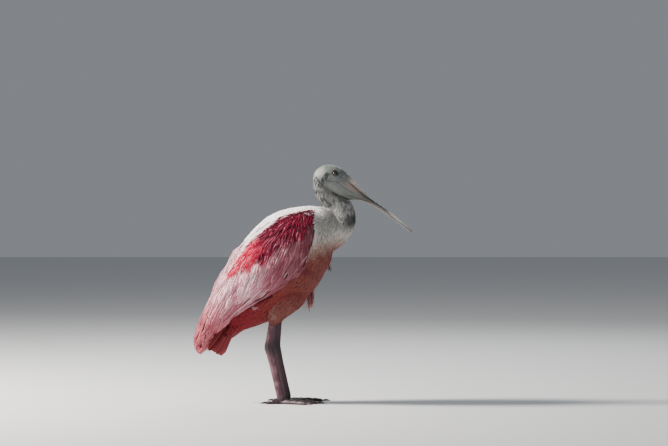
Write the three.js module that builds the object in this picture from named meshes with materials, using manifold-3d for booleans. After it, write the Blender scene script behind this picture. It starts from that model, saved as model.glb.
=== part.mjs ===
// A life-size roseate spoonbill that stands on both feet, with its neck drawn back into an S and its bill
// pointing forward and down. Millimetres, +Z up. The bird faces +X, its left side is +Y, and the floor is z = 0.
// The origin is on the floor, under the middle of the bird's box.

import * as THREE from "three";
import { mergeVertices } from "three/addons/utils/BufferGeometryUtils.js";
import Module from "manifold-3d";

const wasm = await Module();
wasm.setup();

// Driving dimensions of an adult bird, in millimetres and degrees. Pitches are turned up from +X.
const BILL_LENGTH = 165; // from the corner of the mouth to the tip
const BILL_PITCH = -36;
const SPOON_WIDTH = 49;
const BILL_WAIST = 19; // width of the bill behind the spoon
const HEAD_WIDTH = 43;
const EYE_RADIUS = 5;
const BODY_WIDTH = 116; // without the wings
const WING_THICKNESS = 10; // a folded wing at its thickest, beside the breast
const TAIL_LENGTH = 113;
const TAIL_PITCH = -126;
const TAIL_VANE = 1.5; // thickness of a tail feather
const WING_VANE = 3.6; // thickness of a wing feather, most of it sunk into the wing
const TARSUS_LENGTH = 100;
const TARSUS_PITCH = -77.5;
const MIDDLE_TOE = 74; // without its claw
const CLAW_LENGTH = 10;
const FEET_APART = 62; // between the middles of the two feet
const STEP = 11; // how far the left foot stands ahead of the right one
const SEAM = 0.3; // gap that nodes keep where they touch

const RIGHT = -1;
const LEFT = 1;
const SIDES = { right: RIGHT, left: LEFT };
const AXIS_Y = new THREE.Vector3(0, 1, 0);
const AXIS_Z = new THREE.Vector3(0, 0, 1);

// Landmarks in the bird's middle plane, as x and z.
const GAPE = { x: 74, z: 421 };
const TAIL_ROOT = { x: -117, z: 190 };
const EYE = { x: 61.5, z: 437.5 };
const EAR = { x: 38, z: 423 };

// Colours and finishes of the bird's parts.
const FINISHES = {
  mantle: { color: 0xe9dfdc, roughness: 0.85 },
  neck: { color: 0xb9b6b2, roughness: 0.85 },
  skin: { color: 0x98a097, roughness: 0.6 },
  bill: { color: 0x9a938a, roughness: 0.5 },
  eye: { color: 0x5a0d10, roughness: 0.15 },
  wing: { color: 0xdc8f9d, roughness: 0.8 },
  tail: { color: 0xc4673f, roughness: 0.8 },
  thigh: { color: 0xc9606a, roughness: 0.85 },
  leg: { color: 0x4a3038, roughness: 0.55 },
  claw: { color: 0x1d1a1c, roughness: 0.4 },
};

const radians = THREE.MathUtils.degToRad;
const lerp = THREE.MathUtils.lerp;

// A seeded random number around 1, so that feathers vary in the same way each time.
let seed = 7;
function vary(share) {
  seed = (seed * 16807) % 2147483647;
  return 1 + share * (2 * (seed / 2147483647) - 1);
}

// Solids

// A closed geometry as a solid: corners merged, faces of no area dropped, all faces turned outwards.
function solid(geometry) {
  const bare = new THREE.BufferGeometry();
  bare.setAttribute("position", geometry.getAttribute("position"));
  bare.setIndex(geometry.getIndex());
  const merged = mergeVertices(bare, 1e-3);
  const corners = merged.getIndex().array;
  const place = merged.getAttribute("position").array;
  const point = (i) => new THREE.Vector3().fromArray(place, 3 * i);
  const triangles = [];
  let volume = 0;
  for (let i = 0; i < corners.length; i += 3) {
    const [a, b, c] = corners.slice(i, i + 3);
    if (a === b || b === c || c === a) continue;
    triangles.push([a, b, c]);
    volume += point(a).dot(point(b).cross(point(c)));
  }
  const outward = volume < 0 ? triangles.map(([a, b, c]) => [a, c, b]) : triangles;
  return new wasm.Manifold(
    new wasm.Mesh({
      numProp: 3,
      vertProperties: new Float32Array(place),
      triVerts: new Uint32Array(outward.flat()),
    }),
  );
}

// The largest closed surface of a solid, which drops loose scraps and fills sealed hollows.
function largest(made) {
  return made.decompose().reduce((best, piece) => (piece.volume() > best.volume() ? piece : best));
}

const union = (...pieces) => wasm.Manifold.union(pieces);

// The part of a solid that lies ahead of a plane, half a seam away from it.
function ahead(made, point, normal) {
  const unit = normal.clone().normalize();
  return made.trimByPlane(unit.toArray(), unit.dot(point) + SEAM / 2);
}
const behind = (made, point, normal) => ahead(made, point, normal.clone().negate());

// Lofts

// The share of a spine over which its direction is taken, so that close sections never fold over each other.
const STRETCH = 0.05;

// A spine with a half depth and a half width at each station. The squares of the sizes are interpolated, so that a
// form that starts or ends with no size has a round end. grow makes the whole form larger by that much all round.
class Loft {
  constructor(stations, { power = 2, side = AXIS_Y, grow = 0 } = {}) {
    const places = stations.map(({ x, y = 0, z }) => new THREE.Vector3(x, y, z));
    const last = places.length - 1;
    const end = (at, next) => places[at].clone().sub(places[next]).setLength(Math.max(grow, 0));
    places[0].add(end(0, 1));
    places[last].add(end(last, last - 1));
    const square = (size) => Math.max(size + grow, 0) ** 2;
    this.spine = new THREE.CatmullRomCurve3(places);
    this.squares = new THREE.CatmullRomCurve3(
      stations.map(({ deep, wide }) => new THREE.Vector3(square(deep), square(wide), 0)),
    );
    this.power = power;
    this.side = side;
  }

  // The middle, the axes and the half sizes of the section at t, from 0 to 1.
  section(t) {
    const middle = this.spine.getPoint(t);
    const next = this.spine.getPoint(Math.min(t + STRETCH, 1));
    const along = next.sub(this.spine.getPoint(Math.max(t - STRETCH, 0))).normalize();
    const across = this.side.clone().addScaledVector(along, -this.side.dot(along)).normalize();
    const up = along.clone().cross(across);
    const squares = this.squares.getPoint(t);
    const deep = Math.sqrt(Math.max(squares.x, 0));
    const wide = Math.sqrt(Math.max(squares.y, 0));
    return { middle, along, across, up, deep, wide };
  }

  // A cylinder, bent and stretched until its rings are the sections.
  solid(sides, rings) {
    const tube = new THREE.CylinderGeometry(1, 1, 1, sides, rings);
    const position = tube.getAttribute("position");
    const vertex = new THREE.Vector3();
    for (let i = 0; i < position.count; i++) {
      vertex.fromBufferAttribute(position, i);
      const { middle, across, up, deep, wide } = this.section(0.5 - vertex.y);
      const norm = Math.abs(vertex.x) ** this.power + Math.abs(vertex.z) ** this.power;
      const reach = norm > 0 ? Math.hypot(vertex.x, vertex.z) / norm ** (1 / this.power) : 0;
      middle.addScaledVector(across, vertex.x * wide * reach);
      middle.addScaledVector(up, vertex.z * deep * reach);
      position.setXYZ(i, middle.x, middle.y, middle.z);
    }
    return solid(tube);
  }

  // How far the surface stands out from the middle plane at (x, z), on a form that lies in that plane.
  standOut(x, z) {
    const spot = new THREE.Vector3(x, 0, z);
    const steps = 90;
    let nearest = null;
    let least = Infinity;
    for (let i = 0; i <= steps; i++) {
      const section = this.section(i / steps);
      const miss = Math.abs(spot.clone().sub(section.middle).dot(section.along));
      const score = miss + (4 * spot.distanceTo(section.middle)) / Math.max(section.deep, 1);
      if (score < least) {
        least = score;
        nearest = section;
      }
    }
    const rise = Math.abs(spot.sub(nearest.middle).dot(nearest.up));
    const share = Math.min(rise / Math.max(nearest.deep, 1), 0.97);
    return nearest.wide * (1 - share ** this.power) ** (1 / this.power);
  }
}

// A flat shape in (x, z) as a block that reaches from the middle plane out to one side.
function column(points, side, from, to) {
  const shape = new THREE.Shape(points.map(([x, z]) => new THREE.Vector2(x, z)));
  const block = new THREE.ExtrudeGeometry(shape, { depth: to - from, bevelEnabled: false });
  block.rotateX(Math.PI / 2);
  block.translate(0, to, 0);
  block.scale(1, side, 1);
  return solid(block);
}

// A smooth closed outline through [x, z] points, moved outwards by offset.
function smoothOutline(points, count, offset) {
  const corners = points.map(([x, z]) => new THREE.Vector3(x, 0, z));
  const curve = new THREE.CatmullRomCurve3(corners, true, "centripetal");
  return Array.from({ length: count }, (_, i) => {
    const place = curve.getPointAt(i / count);
    const outward = curve.getTangentAt(i / count).cross(AXIS_Y);
    place.addScaledVector(outward, offset);
    return [place.x, place.z];
  });
}

// Vanes

const SHAFT_RISE = 0.6;

// A feather's vane: a flat plate, widest past its middle and round at its tip, with a raised shaft. Both faces are
// split into the same triangles. place(across, along, rise) bends it onto what carries it.
function vane({ length, width, thickness, blunt = 0.5, steps = 3 }, place) {
  const flat = new THREE.PlaneGeometry(2, 1, 2, steps);
  const sheet = flat.getAttribute("position");
  const count = sheet.count;
  const places = new Float32Array(count * 6);
  for (let i = 0; i < count; i++) {
    const u = sheet.getX(i);
    const v = 1 - (0.5 + sheet.getY(i)) ** 1.6;
    const root = lerp(0.7, 1, Math.min(v / 0.45, 1));
    const tip = v < blunt ? 1 : Math.sqrt(1 - 0.9 * ((v - blunt) / (1 - blunt)) ** 2.4);
    const across = (u * width * root * tip) / 2;
    const rise = SHAFT_RISE * (1 - Math.abs(u));
    place(across, v * length, rise).toArray(places, 3 * i);
    place(across, v * length, rise - thickness).toArray(places, 3 * (count + i));
  }
  const upper = Array.from(flat.getIndex().array);
  const index = [...upper];
  for (let i = 0; i < upper.length; i += 3) {
    index.push(count + upper[i], count + upper[i + 2], count + upper[i + 1]);
  }
  const rim = [0, 1, 2];
  for (let row = 1; row <= steps; row++) rim.push(3 * row + 2);
  rim.push(3 * steps + 1, 3 * steps);
  for (let row = steps - 1; row >= 1; row--) rim.push(3 * row);
  rim.forEach((a, i) => {
    const b = rim[(i + 1) % rim.length];
    index.push(a, b, count + b, a, count + b, count + a);
  });
  const plate = new THREE.BufferGeometry();
  plate.setAttribute("position", new THREE.BufferAttribute(places, 3));
  plate.setIndex(index);
  return solid(plate);
}

// Torso, and the beds that the wings lie in

const HALF_BODY = BODY_WIDTH / 2;
const HALF_WINGS = HALF_BODY + WING_THICKNESS;
const PLUMP = 2.15; // the power of the body's sections, a little fuller than an ellipse

// The body under the wings, from the breast to the root of the tail.
const CORE_STATIONS = [
  { x: 68, z: 335, deep: 0, wide: 0 },
  { x: 56, z: 333, deep: 26, wide: 0.42 * HALF_BODY },
  { x: 33, z: 326, deep: 45, wide: 0.7 * HALF_BODY },
  { x: 9, z: 313, deep: 62, wide: 0.9 * HALF_BODY },
  { x: -17, z: 292, deep: 73, wide: HALF_BODY },
  { x: -44, z: 261, deep: 76, wide: HALF_BODY },
  { x: -70, z: 229, deep: 69, wide: 0.9 * HALF_BODY },
  { x: -94, z: 203, deep: 54, wide: 0.74 * HALF_BODY },
  { x: -115, z: 178, deep: 38, wide: 0.52 * HALF_BODY },
  { x: -132, z: 157, deep: 22, wide: 0.32 * HALF_BODY },
  { x: -143, z: 143, deep: 0, wide: 0 },
];

// The feathered body as it shows before, above and below the wings.
const BODY_STATIONS = [
  { x: 72, z: 336, deep: 0, wide: 0 },
  { x: 58, z: 334, deep: 31, wide: 0.46 * HALF_BODY },
  { x: 34, z: 327.5, deep: 51, wide: 0.8 * HALF_BODY },
  { x: 11, z: 313.5, deep: 66.5, wide: 1.02 * HALF_BODY },
  { x: -17, z: 294, deep: 78, wide: 1.14 * HALF_BODY },
  { x: -45, z: 262.5, deep: 81, wide: 1.14 * HALF_BODY },
  { x: -70, z: 229, deep: 74, wide: 0.98 * HALF_BODY },
  { x: -94, z: 201, deep: 59, wide: 0.76 * HALF_BODY },
  { x: -115, z: 176, deep: 42, wide: 0.54 * HALF_BODY },
  { x: -132, z: 155, deep: 25, wide: 0.34 * HALF_BODY },
  { x: -144, z: 140, deep: 0, wide: 0 },
];

// The outer surface of the two folded wings, from the wrists to the wing tips.
const WING_STATIONS = [
  { x: 62, z: 340, deep: 0, wide: 0 },
  { x: 40, z: 331, deep: 42, wide: 0.62 * HALF_WINGS },
  { x: 25, z: 323, deep: 56, wide: 0.82 * HALF_WINGS },
  { x: 4, z: 309, deep: 68, wide: 0.95 * HALF_WINGS },
  { x: -21, z: 290, deep: 79, wide: HALF_WINGS },
  { x: -54, z: 263, deep: 80.5, wide: HALF_WINGS },
  { x: -86, z: 238, deep: 69, wide: 0.91 * HALF_WINGS },
  { x: -113, z: 217, deep: 51, wide: 0.74 * HALF_WINGS },
  { x: -140, z: 191, deep: 37, wide: 0.56 * HALF_WINGS },
  { x: -165, z: 161, deep: 26, wide: 0.4 * HALF_WINGS },
  { x: -184, z: 134, deep: 19, wide: 0.28 * HALF_WINGS },
  { x: -193, z: 112, deep: 14.5, wide: 0.2 * HALF_WINGS },
  { x: -195, z: 91, deep: 0, wide: 0 },
];
const wingSurface = new Loft(WING_STATIONS, { power: PLUMP });

// A folded wing's outline from the side: the wrist, the lower edge, the tip, round behind the back, and the line
// where the mantle covers it.
const WING_OUTLINE = [
  [22, 356],
  [26, 338],
  [20, 308],
  [7, 276],
  [-18, 238],
  [-55, 206],
  [-97, 184],
  [-126, 164],
  [-151, 147],
  [-176, 126],
  [-181, 100],
  [-190, 93],
  [-212, 96],
  [-224, 130],
  [-207, 190],
  [-172, 250],
  [-137, 285],
  [-113, 297],
  [-89, 318],
  [-61, 336],
  [-34, 351],
  [-6, 362],
  [11, 365],
];
const OUTLINE_POINTS = 36;
const wingColumn = (side, from, offset) =>
  column(smoothOutline(WING_OUTLINE, OUTLINE_POINTS, offset), side, from, 2 * HALF_BODY);

const core = (grow) => new Loft(CORE_STATIONS, { power: PLUMP, grow }).solid(18, 15);

// The torso with the wings' beds cut out of its plumage. grow gives the space that its neighbours keep clear of.
function torsoForm(grow) {
  const plumage = new Loft(BODY_STATIONS, { power: PLUMP, grow }).solid(22, 20);
  const beds = union(wingColumn(RIGHT, -1, SEAM - grow), wingColumn(LEFT, -1, SEAM - grow));
  return largest(union(core(grow), plumage.subtract(beds)));
}

// Tail

const TAIL_FEATHERS = 12;
const tailAlong = new THREE.Vector3(Math.cos(radians(TAIL_PITCH)), 0, Math.sin(radians(TAIL_PITCH)));
const tailUp = AXIS_Y.clone().cross(tailAlong);

// A point in the tail's own frame: down its length, out to the side, and up from its upper surface.
function tailPoint(along, across, rise) {
  return new THREE.Vector3(TAIL_ROOT.x, 0, TAIL_ROOT.z)
    .addScaledVector(tailAlong, along)
    .addScaledVector(AXIS_Y, across)
    .addScaledVector(tailUp, rise);
}

const FAN_TURN = 9; // degrees that the outermost feathers turn outwards
const FAN_SPREAD = 4; // how far out their roots lie
const FAN_LAYER = 1.3; // how far each feather lies under its inner neighbour
const FAN_DROOP = 0.045;

// Twelve feathers in a narrow fan that droops to both sides, the middle pair on top.
function tailFan() {
  const outermost = (TAIL_FEATHERS - 1) / 2;
  return Array.from({ length: TAIL_FEATHERS }, (_, i) => {
    const order = (i - outermost) / outermost;
    const turn = radians(FAN_TURN * order);
    const length = TAIL_LENGTH * (1 - 0.07 * Math.abs(order)) * vary(0.01);
    const layer = -FAN_LAYER * Math.abs(i - outermost);
    return vane({ length, width: 19, thickness: TAIL_VANE, blunt: 0.7, steps: 2 }, (across, along, rise) => {
      const out = along * Math.sin(turn) + across * Math.cos(turn) + FAN_SPREAD * order;
      const down = along * Math.cos(turn) - across * Math.sin(turn);
      const droop = -FAN_DROOP * out * out;
      return tailPoint(down, out, rise + layer + droop);
    });
  });
}

// The coverts over and under the tail's root.
const COVERT_STATIONS = [
  { along: -12, rise: -12, deep: 0, wide: 0 },
  { along: 4, rise: -16, deep: 21, wide: 23 },
  { along: 30, rise: -18, deep: 20, wide: 23 },
  { along: 54, rise: -16, deep: 14, wide: 20 },
  { along: 76, rise: -14, deep: 9, wide: 15 },
  { along: 94, rise: -13, deep: 0, wide: 0 },
];

// The space under the wings that the fan's middle feathers take.
const FAN_STATIONS = [
  { along: -12, rise: -13, deep: 0, wide: 0 },
  { along: 10, rise: -13, deep: 15, wide: 20 },
  { along: 110, rise: -13, deep: 15.5, wide: 20 },
  { along: 150, rise: -13, deep: 0, wide: 0 },
];

function tailForm(places, grow) {
  const stations = places.map(({ along, rise, deep, wide }) => {
    const { x, z } = tailPoint(along, 0, rise);
    return { x, z, deep, wide };
  });
  return new Loft(stations, { grow }).solid(12, 10);
}

// Wings

// A frame on the wing's surface at (x, z): the point and the way out of the surface.
function onWing(side, x, z) {
  const reach = 2;
  const out = wingSurface.standOut(x, z);
  const slopeX = (wingSurface.standOut(x + reach, z) - wingSurface.standOut(x - reach, z)) / (2 * reach);
  const slopeZ = (wingSurface.standOut(x, z + reach) - wingSurface.standOut(x, z - reach)) / (2 * reach);
  const normal = new THREE.Vector3(-slopeX, 1, -slopeZ).normalize();
  return { point: new THREE.Vector3(x, side * out, z), normal: normal.setY(side * normal.y) };
}

// The tiers of long feathers on a folded wing, from the lowest to the one on top. Each has its first and last root
// and the way that its feathers point, with their length, from the wrist to the wing's rear edge.
const TIERS = [
  { name: "primaries", count: 5, from: [-96, 218], to: [-146, 232], pitch: [-131, -110], length: [108, 142], width: 18 },
  { name: "secondaries", count: 9, from: [8, 300], to: [-150, 228], pitch: [-112, -111], length: [64, 92], width: 23 },
  { name: "greater coverts", count: 7, from: [8, 322], to: [-142, 250], pitch: [-108, -112], length: [46, 62], width: 27 },
  { name: "median coverts", count: 6, from: [6, 340], to: [-128, 268], pitch: [-106, -114], length: [36, 44], width: 27 },
  { name: "scapulars", count: 5, from: [0, 358], to: [-108, 292], pitch: [-150, -126], length: [46, 54], width: 24 },
];
const BOW = 14; // how far the middle of a tier's line bows up
const ROOT_SINK = -2.2;
const TIP_LIFT = 1.9;
const OVERLAP_TILT = 0.08; // how far a vane leans, over the next one below it and under the next one above

function tierVanes({ count, from, to, pitch, length, width }, side) {
  return Array.from({ length: count }, (_, i) => {
    const share = i / (count - 1);
    const bow = BOW * Math.sin(Math.PI * share);
    const x = lerp(from[0], to[0], share) - 0.4 * bow;
    const z = lerp(from[1], to[1], share) + 0.9 * bow;
    const angle = radians(lerp(pitch[0], pitch[1], share));
    const size = { length: lerp(length[0], length[1], share) * vary(0.04), width: width * vary(0.05) };
    return vane({ ...size, thickness: WING_VANE }, (across, along, rise) => {
      const px = x + along * Math.cos(angle) - across * Math.sin(angle);
      const pz = z + along * Math.sin(angle) + across * Math.cos(angle);
      const { point, normal } = onWing(side, px, pz);
      const lift = lerp(ROOT_SINK, TIP_LIFT, Math.min(along / size.length / 0.8, 1));
      return point.addScaledVector(normal, lift + rise + OVERLAP_TILT * across);
    });
  });
}

const WING_WALL = 9; // the shell's thickness behind the body, where the wings cover the rump

// A folded wing: a shell over the body and the rump, with its tiers of feathers, clear of the torso and the tail.
function wingForm(side) {
  const shell = wingSurface.solid(16, 18);
  const hollow = new Loft(WING_STATIONS.slice(5, 11), { power: PLUMP, grow: -WING_WALL }).solid(12, 10);
  const tailRoom = union(tailForm(COVERT_STATIONS, SEAM), tailForm(FAN_STATIONS, 0));
  const under = union(torsoForm(SEAM), hollow, tailRoom);
  const arm = shell.intersect(wingColumn(side, SEAM / 2, 0));
  const feathers = TIERS.flatMap((tier) => tierVanes(tier, side));
  const half = ahead(union(arm, ...feathers), new THREE.Vector3(), new THREE.Vector3(0, side, 0));
  return largest(half.subtract(under));
}

// Head and bill

// Unit steps along the bill and across it, in the middle plane.
const billAlong = new THREE.Vector3(Math.cos(radians(BILL_PITCH)), 0, Math.sin(radians(BILL_PITCH)));
const billUp = new THREE.Vector3(-billAlong.z, 0, billAlong.x);
const gape = new THREE.Vector3(GAPE.x, 0, GAPE.z);
const billPoint = (share, rise) =>
  gape.clone().addScaledVector(billAlong, share * BILL_LENGTH).addScaledVector(billUp, rise);

const HALF_HEAD = HEAD_WIDTH / 2;
const SKULL_STATIONS = [
  { x: 18, z: 420.5, deep: 0, wide: 0 },
  { x: 30.5, z: 422.5, deep: 22.6, wide: 0.79 * HALF_HEAD },
  { x: 46.5, z: 425.5, deep: 28, wide: HALF_HEAD },
  { x: 60, z: 422.5, deep: 27.6, wide: 0.97 * HALF_HEAD },
  { x: 72.5, z: 413.5, deep: 25.2, wide: 0.8 * HALF_HEAD },
];
// Stations down the bill, as shares of its length, with the drop or rise of the middle line.
const BILL_STATIONS = [
  { share: 0.116, rise: -6.7, deep: 21.5, wide: 13.5 },
  { share: 0.21, rise: -3.4, deep: 15, wide: 11.6 },
  { share: 0.31, rise: -0.3, deep: 8.3, wide: 10.4 },
  { share: 0.405, rise: 1.3, deep: 5.4, wide: 9.7 },
  { share: 0.525, rise: 2.9, deep: 4.5, wide: BILL_WAIST / 2 },
  { share: 0.66, rise: 2.5, deep: 4.1, wide: 0.5 * SPOON_WIDTH * 0.5 },
  { share: 0.76, rise: 2.3, deep: 3.9, wide: 0.5 * SPOON_WIDTH * 0.78 },
  { share: 0.86, rise: 1.8, deep: 3.6, wide: 0.5 * SPOON_WIDTH },
  { share: 0.94, rise: 1.1, deep: 3.2, wide: 0.5 * SPOON_WIDTH * 0.86 },
  { share: 1, rise: 0.3, deep: 0, wide: 0 },
];

function headForm(grow) {
  const bill = BILL_STATIONS.map(({ share, rise, deep, wide }) => {
    const { x, z } = billPoint(share, rise);
    return { x, z, deep, wide };
  });
  return new Loft([...SKULL_STATIONS, ...bill], { grow }).solid(16, 32);
}

// The line between the mandibles, as shares of the bill's length and rises above its straight line.
const MOUTH_LINE = [
  [-0.1, -5],
  [0.02, -5.4],
  [0.09, -6.2],
  [0.21, -4],
  [0.32, -1.8],
  [0.41, 0.6],
  [0.53, 2.6],
  [0.66, 2.4],
  [0.8, 2.1],
  [0.9, 1.4],
  [1.1, 0],
];
const BELOW_JAW = 70;

// The space under the mouth line, which holds the lower mandible.
function underMouth(drop) {
  const line = MOUTH_LINE.map(([share, rise]) => billPoint(share, rise - drop));
  const ends = [billPoint(1.1, -BELOW_JAW), billPoint(-0.1, -BELOW_JAW)];
  const points = [...line, ...ends].map(({ x, z }) => [x, z]);
  const half = (side) => column(points, side, -1, SPOON_WIDTH);
  return union(half(RIGHT), half(LEFT));
}

// Slits near the root of the upper mandible, one on each side.
function nostril(side) {
  const slit = new THREE.SphereGeometry(1, 8, 5);
  slit.scale(5.5, 2.2, 1.1);
  slit.rotateY(radians(-BILL_PITCH + 6));
  const at = billPoint(0.12, 10);
  slit.translate(at.x, side * 7.6, at.z);
  return solid(slit);
}

const skull = new Loft(SKULL_STATIONS);

// The way out of the head at the eye, and the middle of the eyeball.
const eyeOut = (side) => new THREE.Vector3(0.22, side * 0.88, 0.42).normalize();
function eyeMiddle(side) {
  const lid = new THREE.Vector3(EYE.x, side * skull.standOut(EYE.x, EYE.z), EYE.z);
  return lid.addScaledVector(eyeOut(side), 1.3 - EYE_RADIUS);
}

function eyeball(side, grow) {
  const ball = new THREE.SphereGeometry(EYE_RADIUS + grow, 12, 8);
  ball.translate(...eyeMiddle(side).toArray());
  return solid(ball);
}

function lids(side) {
  const ring = new THREE.TorusGeometry(EYE_RADIUS - 0.2, 1.3, 5, 14);
  ring.scale(1.12, 0.92, 1);
  ring.applyQuaternion(new THREE.Quaternion().setFromUnitVectors(AXIS_Z, eyeOut(side)));
  ring.translate(...eyeMiddle(side).addScaledVector(eyeOut(side), EYE_RADIUS - 2.4).toArray());
  return solid(ring);
}

function earHole(side) {
  const pit = new THREE.SphereGeometry(1, 8, 5);
  pit.scale(3.4, 2.2, 4.2);
  pit.translate(EAR.x, side * skull.standOut(EAR.x, EAR.z), EAR.z);
  return solid(pit);
}

function headSolid() {
  const whole = union(behind(headForm(0), gape, billAlong), lids(RIGHT), lids(LEFT));
  const cuts = [RIGHT, LEFT].flatMap((side) => [eyeball(side, SEAM), earHole(side)]);
  return largest(whole.subtract(union(...cuts)));
}

const billSolid = () => ahead(headForm(0), gape, billAlong);
const upperBill = () =>
  largest(billSolid().subtract(union(underMouth(-SEAM / 2), nostril(RIGHT), nostril(LEFT))));
const lowerBill = () => largest(billSolid().intersect(underMouth(SEAM / 2)));

// Neck

const NECK_STATIONS = [
  { x: 30, z: 306, deep: 24, wide: 24 },
  { x: 47, z: 316, deep: 29, wide: 27 },
  { x: 65, z: 331, deep: 28.5, wide: 25 },
  { x: 77, z: 351.5, deep: 23, wide: 20 },
  { x: 70.5, z: 374, deep: 21.5, wide: 17 },
  { x: 52, z: 391.5, deep: 20.5, wide: 15.5 },
  { x: 39.5, z: 408, deep: 20, wide: 15.5 },
  { x: 41, z: 424, deep: 16, wide: 13 },
];
const NECK_BEND = new THREE.Vector3(74, 0, 363); // the seam between the lower and the upper neck
const NECK_WAY = new THREE.Vector3(-0.1, 0, 1);

function neckForm() {
  return new Loft(NECK_STATIONS).solid(16, 22).subtract(union(torsoForm(SEAM), headForm(2 * SEAM)));
}

// Legs and feet

const THIGH_STATIONS = [
  { x: -22, z: 222, inward: 4, deep: 24, wide: 20 },
  { x: -30, z: 205, inward: 3, deep: 29, wide: 21 },
  { x: -43, z: 184, inward: 2, deep: 22, wide: 16 },
  { x: -53, z: 166, inward: 1, deep: 12, wide: 10.5 },
  { x: -58, z: 152, inward: 0, deep: 6.6, wide: 6.4 },
  { x: -59.5, z: 147, inward: 0, deep: 0, wide: 0 },
];
const HEEL_Z = 107;
const ANKLE_Z = 13;
const TIBIA_LEAN = 0.12; // how far the tibia leans forward for each millimetre above the heel
const heelX = (foot) => foot - TARSUS_LENGTH * Math.cos(radians(TARSUS_PITCH));

// Stations up the bare leg. From the side it is deeper than it is wide.
const SHANK_STATIONS = [
  { z: 164, deep: 5.8, wide: 4.8 },
  { z: 140, deep: 6.7, wide: 4.9 },
  { z: 118, deep: 8.1, wide: 5.8 },
  { z: HEEL_Z, deep: 8.9, wide: 6.6 },
  { z: 95, deep: 8.1, wide: 5.8 },
  { z: 76, deep: 7.2, wide: 4.9 },
  { z: 46, deep: 7, wide: 4.7 },
  { z: 22, deep: 7, wide: 4.9 },
  { z: 10, deep: 6.9, wide: 5.7 },
  { z: 4, deep: 4, wide: 4 },
];

// Toes from the foot's middle: direction turned outwards from straight ahead, length, and half thickness.
const TOES = [
  { name: "hind", turn: 168, length: 30, thick: 3.6 },
  { name: "inner", turn: -27, length: 52, thick: 3.9 },
  { name: "middle", turn: 2, length: MIDDLE_TOE, thick: 4.2 },
  { name: "outer", turn: 31, length: 62, thick: 4 },
];
const KNUCKLES = [1.15, 0.95, 1.1, 0.88, 1.02, 0.8, 0.92, 0.72];

// The foot's middle on the floor.
const footX = (side) => -42 + (side === LEFT ? STEP : 0);
const footY = (side) => (side * FEET_APART) / 2;

function toeWay({ turn }, side) {
  const angle = radians(turn) * side;
  return new THREE.Vector3(Math.cos(angle), Math.sin(angle), 0);
}

// A toe lies on the floor, thicker at its joints, and its sole is flattened.
function toe(kind, side, grow) {
  const way = toeWay(kind, side);
  const stations = KNUCKLES.map((knuckle, i) => {
    const share = i / KNUCKLES.length;
    const thick = kind.thick * knuckle;
    const at = way.clone().multiplyScalar(share * kind.length);
    return { x: footX(side) + at.x, y: footY(side) + at.y, z: 0.8 * thick, deep: thick, wide: thick };
  });
  const tip = way.clone().multiplyScalar(kind.length);
  stations.push({ x: footX(side) + tip.x, y: footY(side) + tip.y, z: 0.4 * kind.thick, deep: 0, wide: 0 });
  return new Loft(stations, { side: AXIS_Z, grow }).solid(6, 8);
}

// A claw curves down from the toe's tip and ends just above the floor.
function claw(kind, side) {
  const way = toeWay(kind, side);
  const stations = [-0.35, 0.1, 0.6, 1].map((share, i) => {
    const at = way.clone().multiplyScalar(kind.length + share * CLAW_LENGTH);
    const thick = [2.1, 2, 1.3, 0][i];
    const z = [2.6, 3.1, 2.4, 0.9][i];
    return { x: footX(side) + at.x, y: footY(side) + at.y, z, deep: thick, wide: 1.15 * thick };
  });
  const whole = new Loft(stations, { side: AXIS_Z }).solid(6, 4);
  return largest(whole.subtract(toe(kind, side, SEAM)));
}

// The webs between the roots of the three front toes.
function webs(side) {
  const shape = new THREE.Shape();
  shape.moveTo(-4, 0);
  [1, 2, 3].forEach((i) => {
    const spread = toeWay(TOES[i], 1).multiplyScalar(0.42 * TOES[i].length);
    if (i > 1) {
      const middle = toeWay({ turn: (TOES[i].turn + TOES[i - 1].turn) / 2 }, 1).multiplyScalar(12);
      shape.quadraticCurveTo(middle.x, middle.y, spread.x, spread.y);
    } else {
      shape.lineTo(spread.x, spread.y);
    }
  });
  const plate = new THREE.ExtrudeGeometry(shape, { depth: 2.2, bevelEnabled: false, curveSegments: 3 });
  plate.scale(1, side, 1);
  plate.translate(footX(side), footY(side), 0.4);
  return solid(plate);
}

function shankForm(side) {
  const foot = footX(side);
  const stations = SHANK_STATIONS.map(({ z, deep, wide }) => {
    const tarsus = lerp(foot, heelX(foot), (z - ANKLE_Z) / (HEEL_Z - ANKLE_Z));
    const tibia = heelX(foot) + TIBIA_LEAN * (z - HEEL_Z);
    return { x: z > HEEL_Z ? tibia : tarsus, y: footY(side), z, deep, wide };
  });
  return new Loft(stations).solid(10, 20);
}

function thighForm(side, grow) {
  const stations = THIGH_STATIONS.map(({ x, z, inward, deep, wide }) => ({
    x: x + (side === LEFT ? STEP - 3 : 0),
    y: footY(side) - side * inward,
    z,
    deep,
    wide,
  }));
  return new Loft(stations, { grow }).solid(14, 12);
}

const FLOOR = new THREE.Vector3(0, 0, -SEAM / 2);
const heelPoint = (side) => new THREE.Vector3(heelX(footX(side)), footY(side), HEEL_Z);
const anklePoint = (side) => new THREE.Vector3(footX(side), footY(side), ANKLE_Z);

function legParts(side) {
  const shank = shankForm(side);
  const above = ahead(shank, heelPoint(side), AXIS_Z);
  const below = behind(shank, heelPoint(side), AXIS_Z);
  const toes = TOES.map((kind) => toe(kind, side, 0));
  const sole = behind(union(shank, webs(side), ...toes), anklePoint(side), AXIS_Z);
  return {
    thigh: largest(thighForm(side, 0).subtract(torsoForm(SEAM))),
    tibia: largest(above.subtract(union(thighForm(side, SEAM), torsoForm(SEAM)))),
    tarsus: largest(ahead(below, anklePoint(side), AXIS_Z)),
    foot: largest(ahead(sole, FLOOR, AXIS_Z)),
  };
}

// Named meshes

const bird = new THREE.Group();

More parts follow.
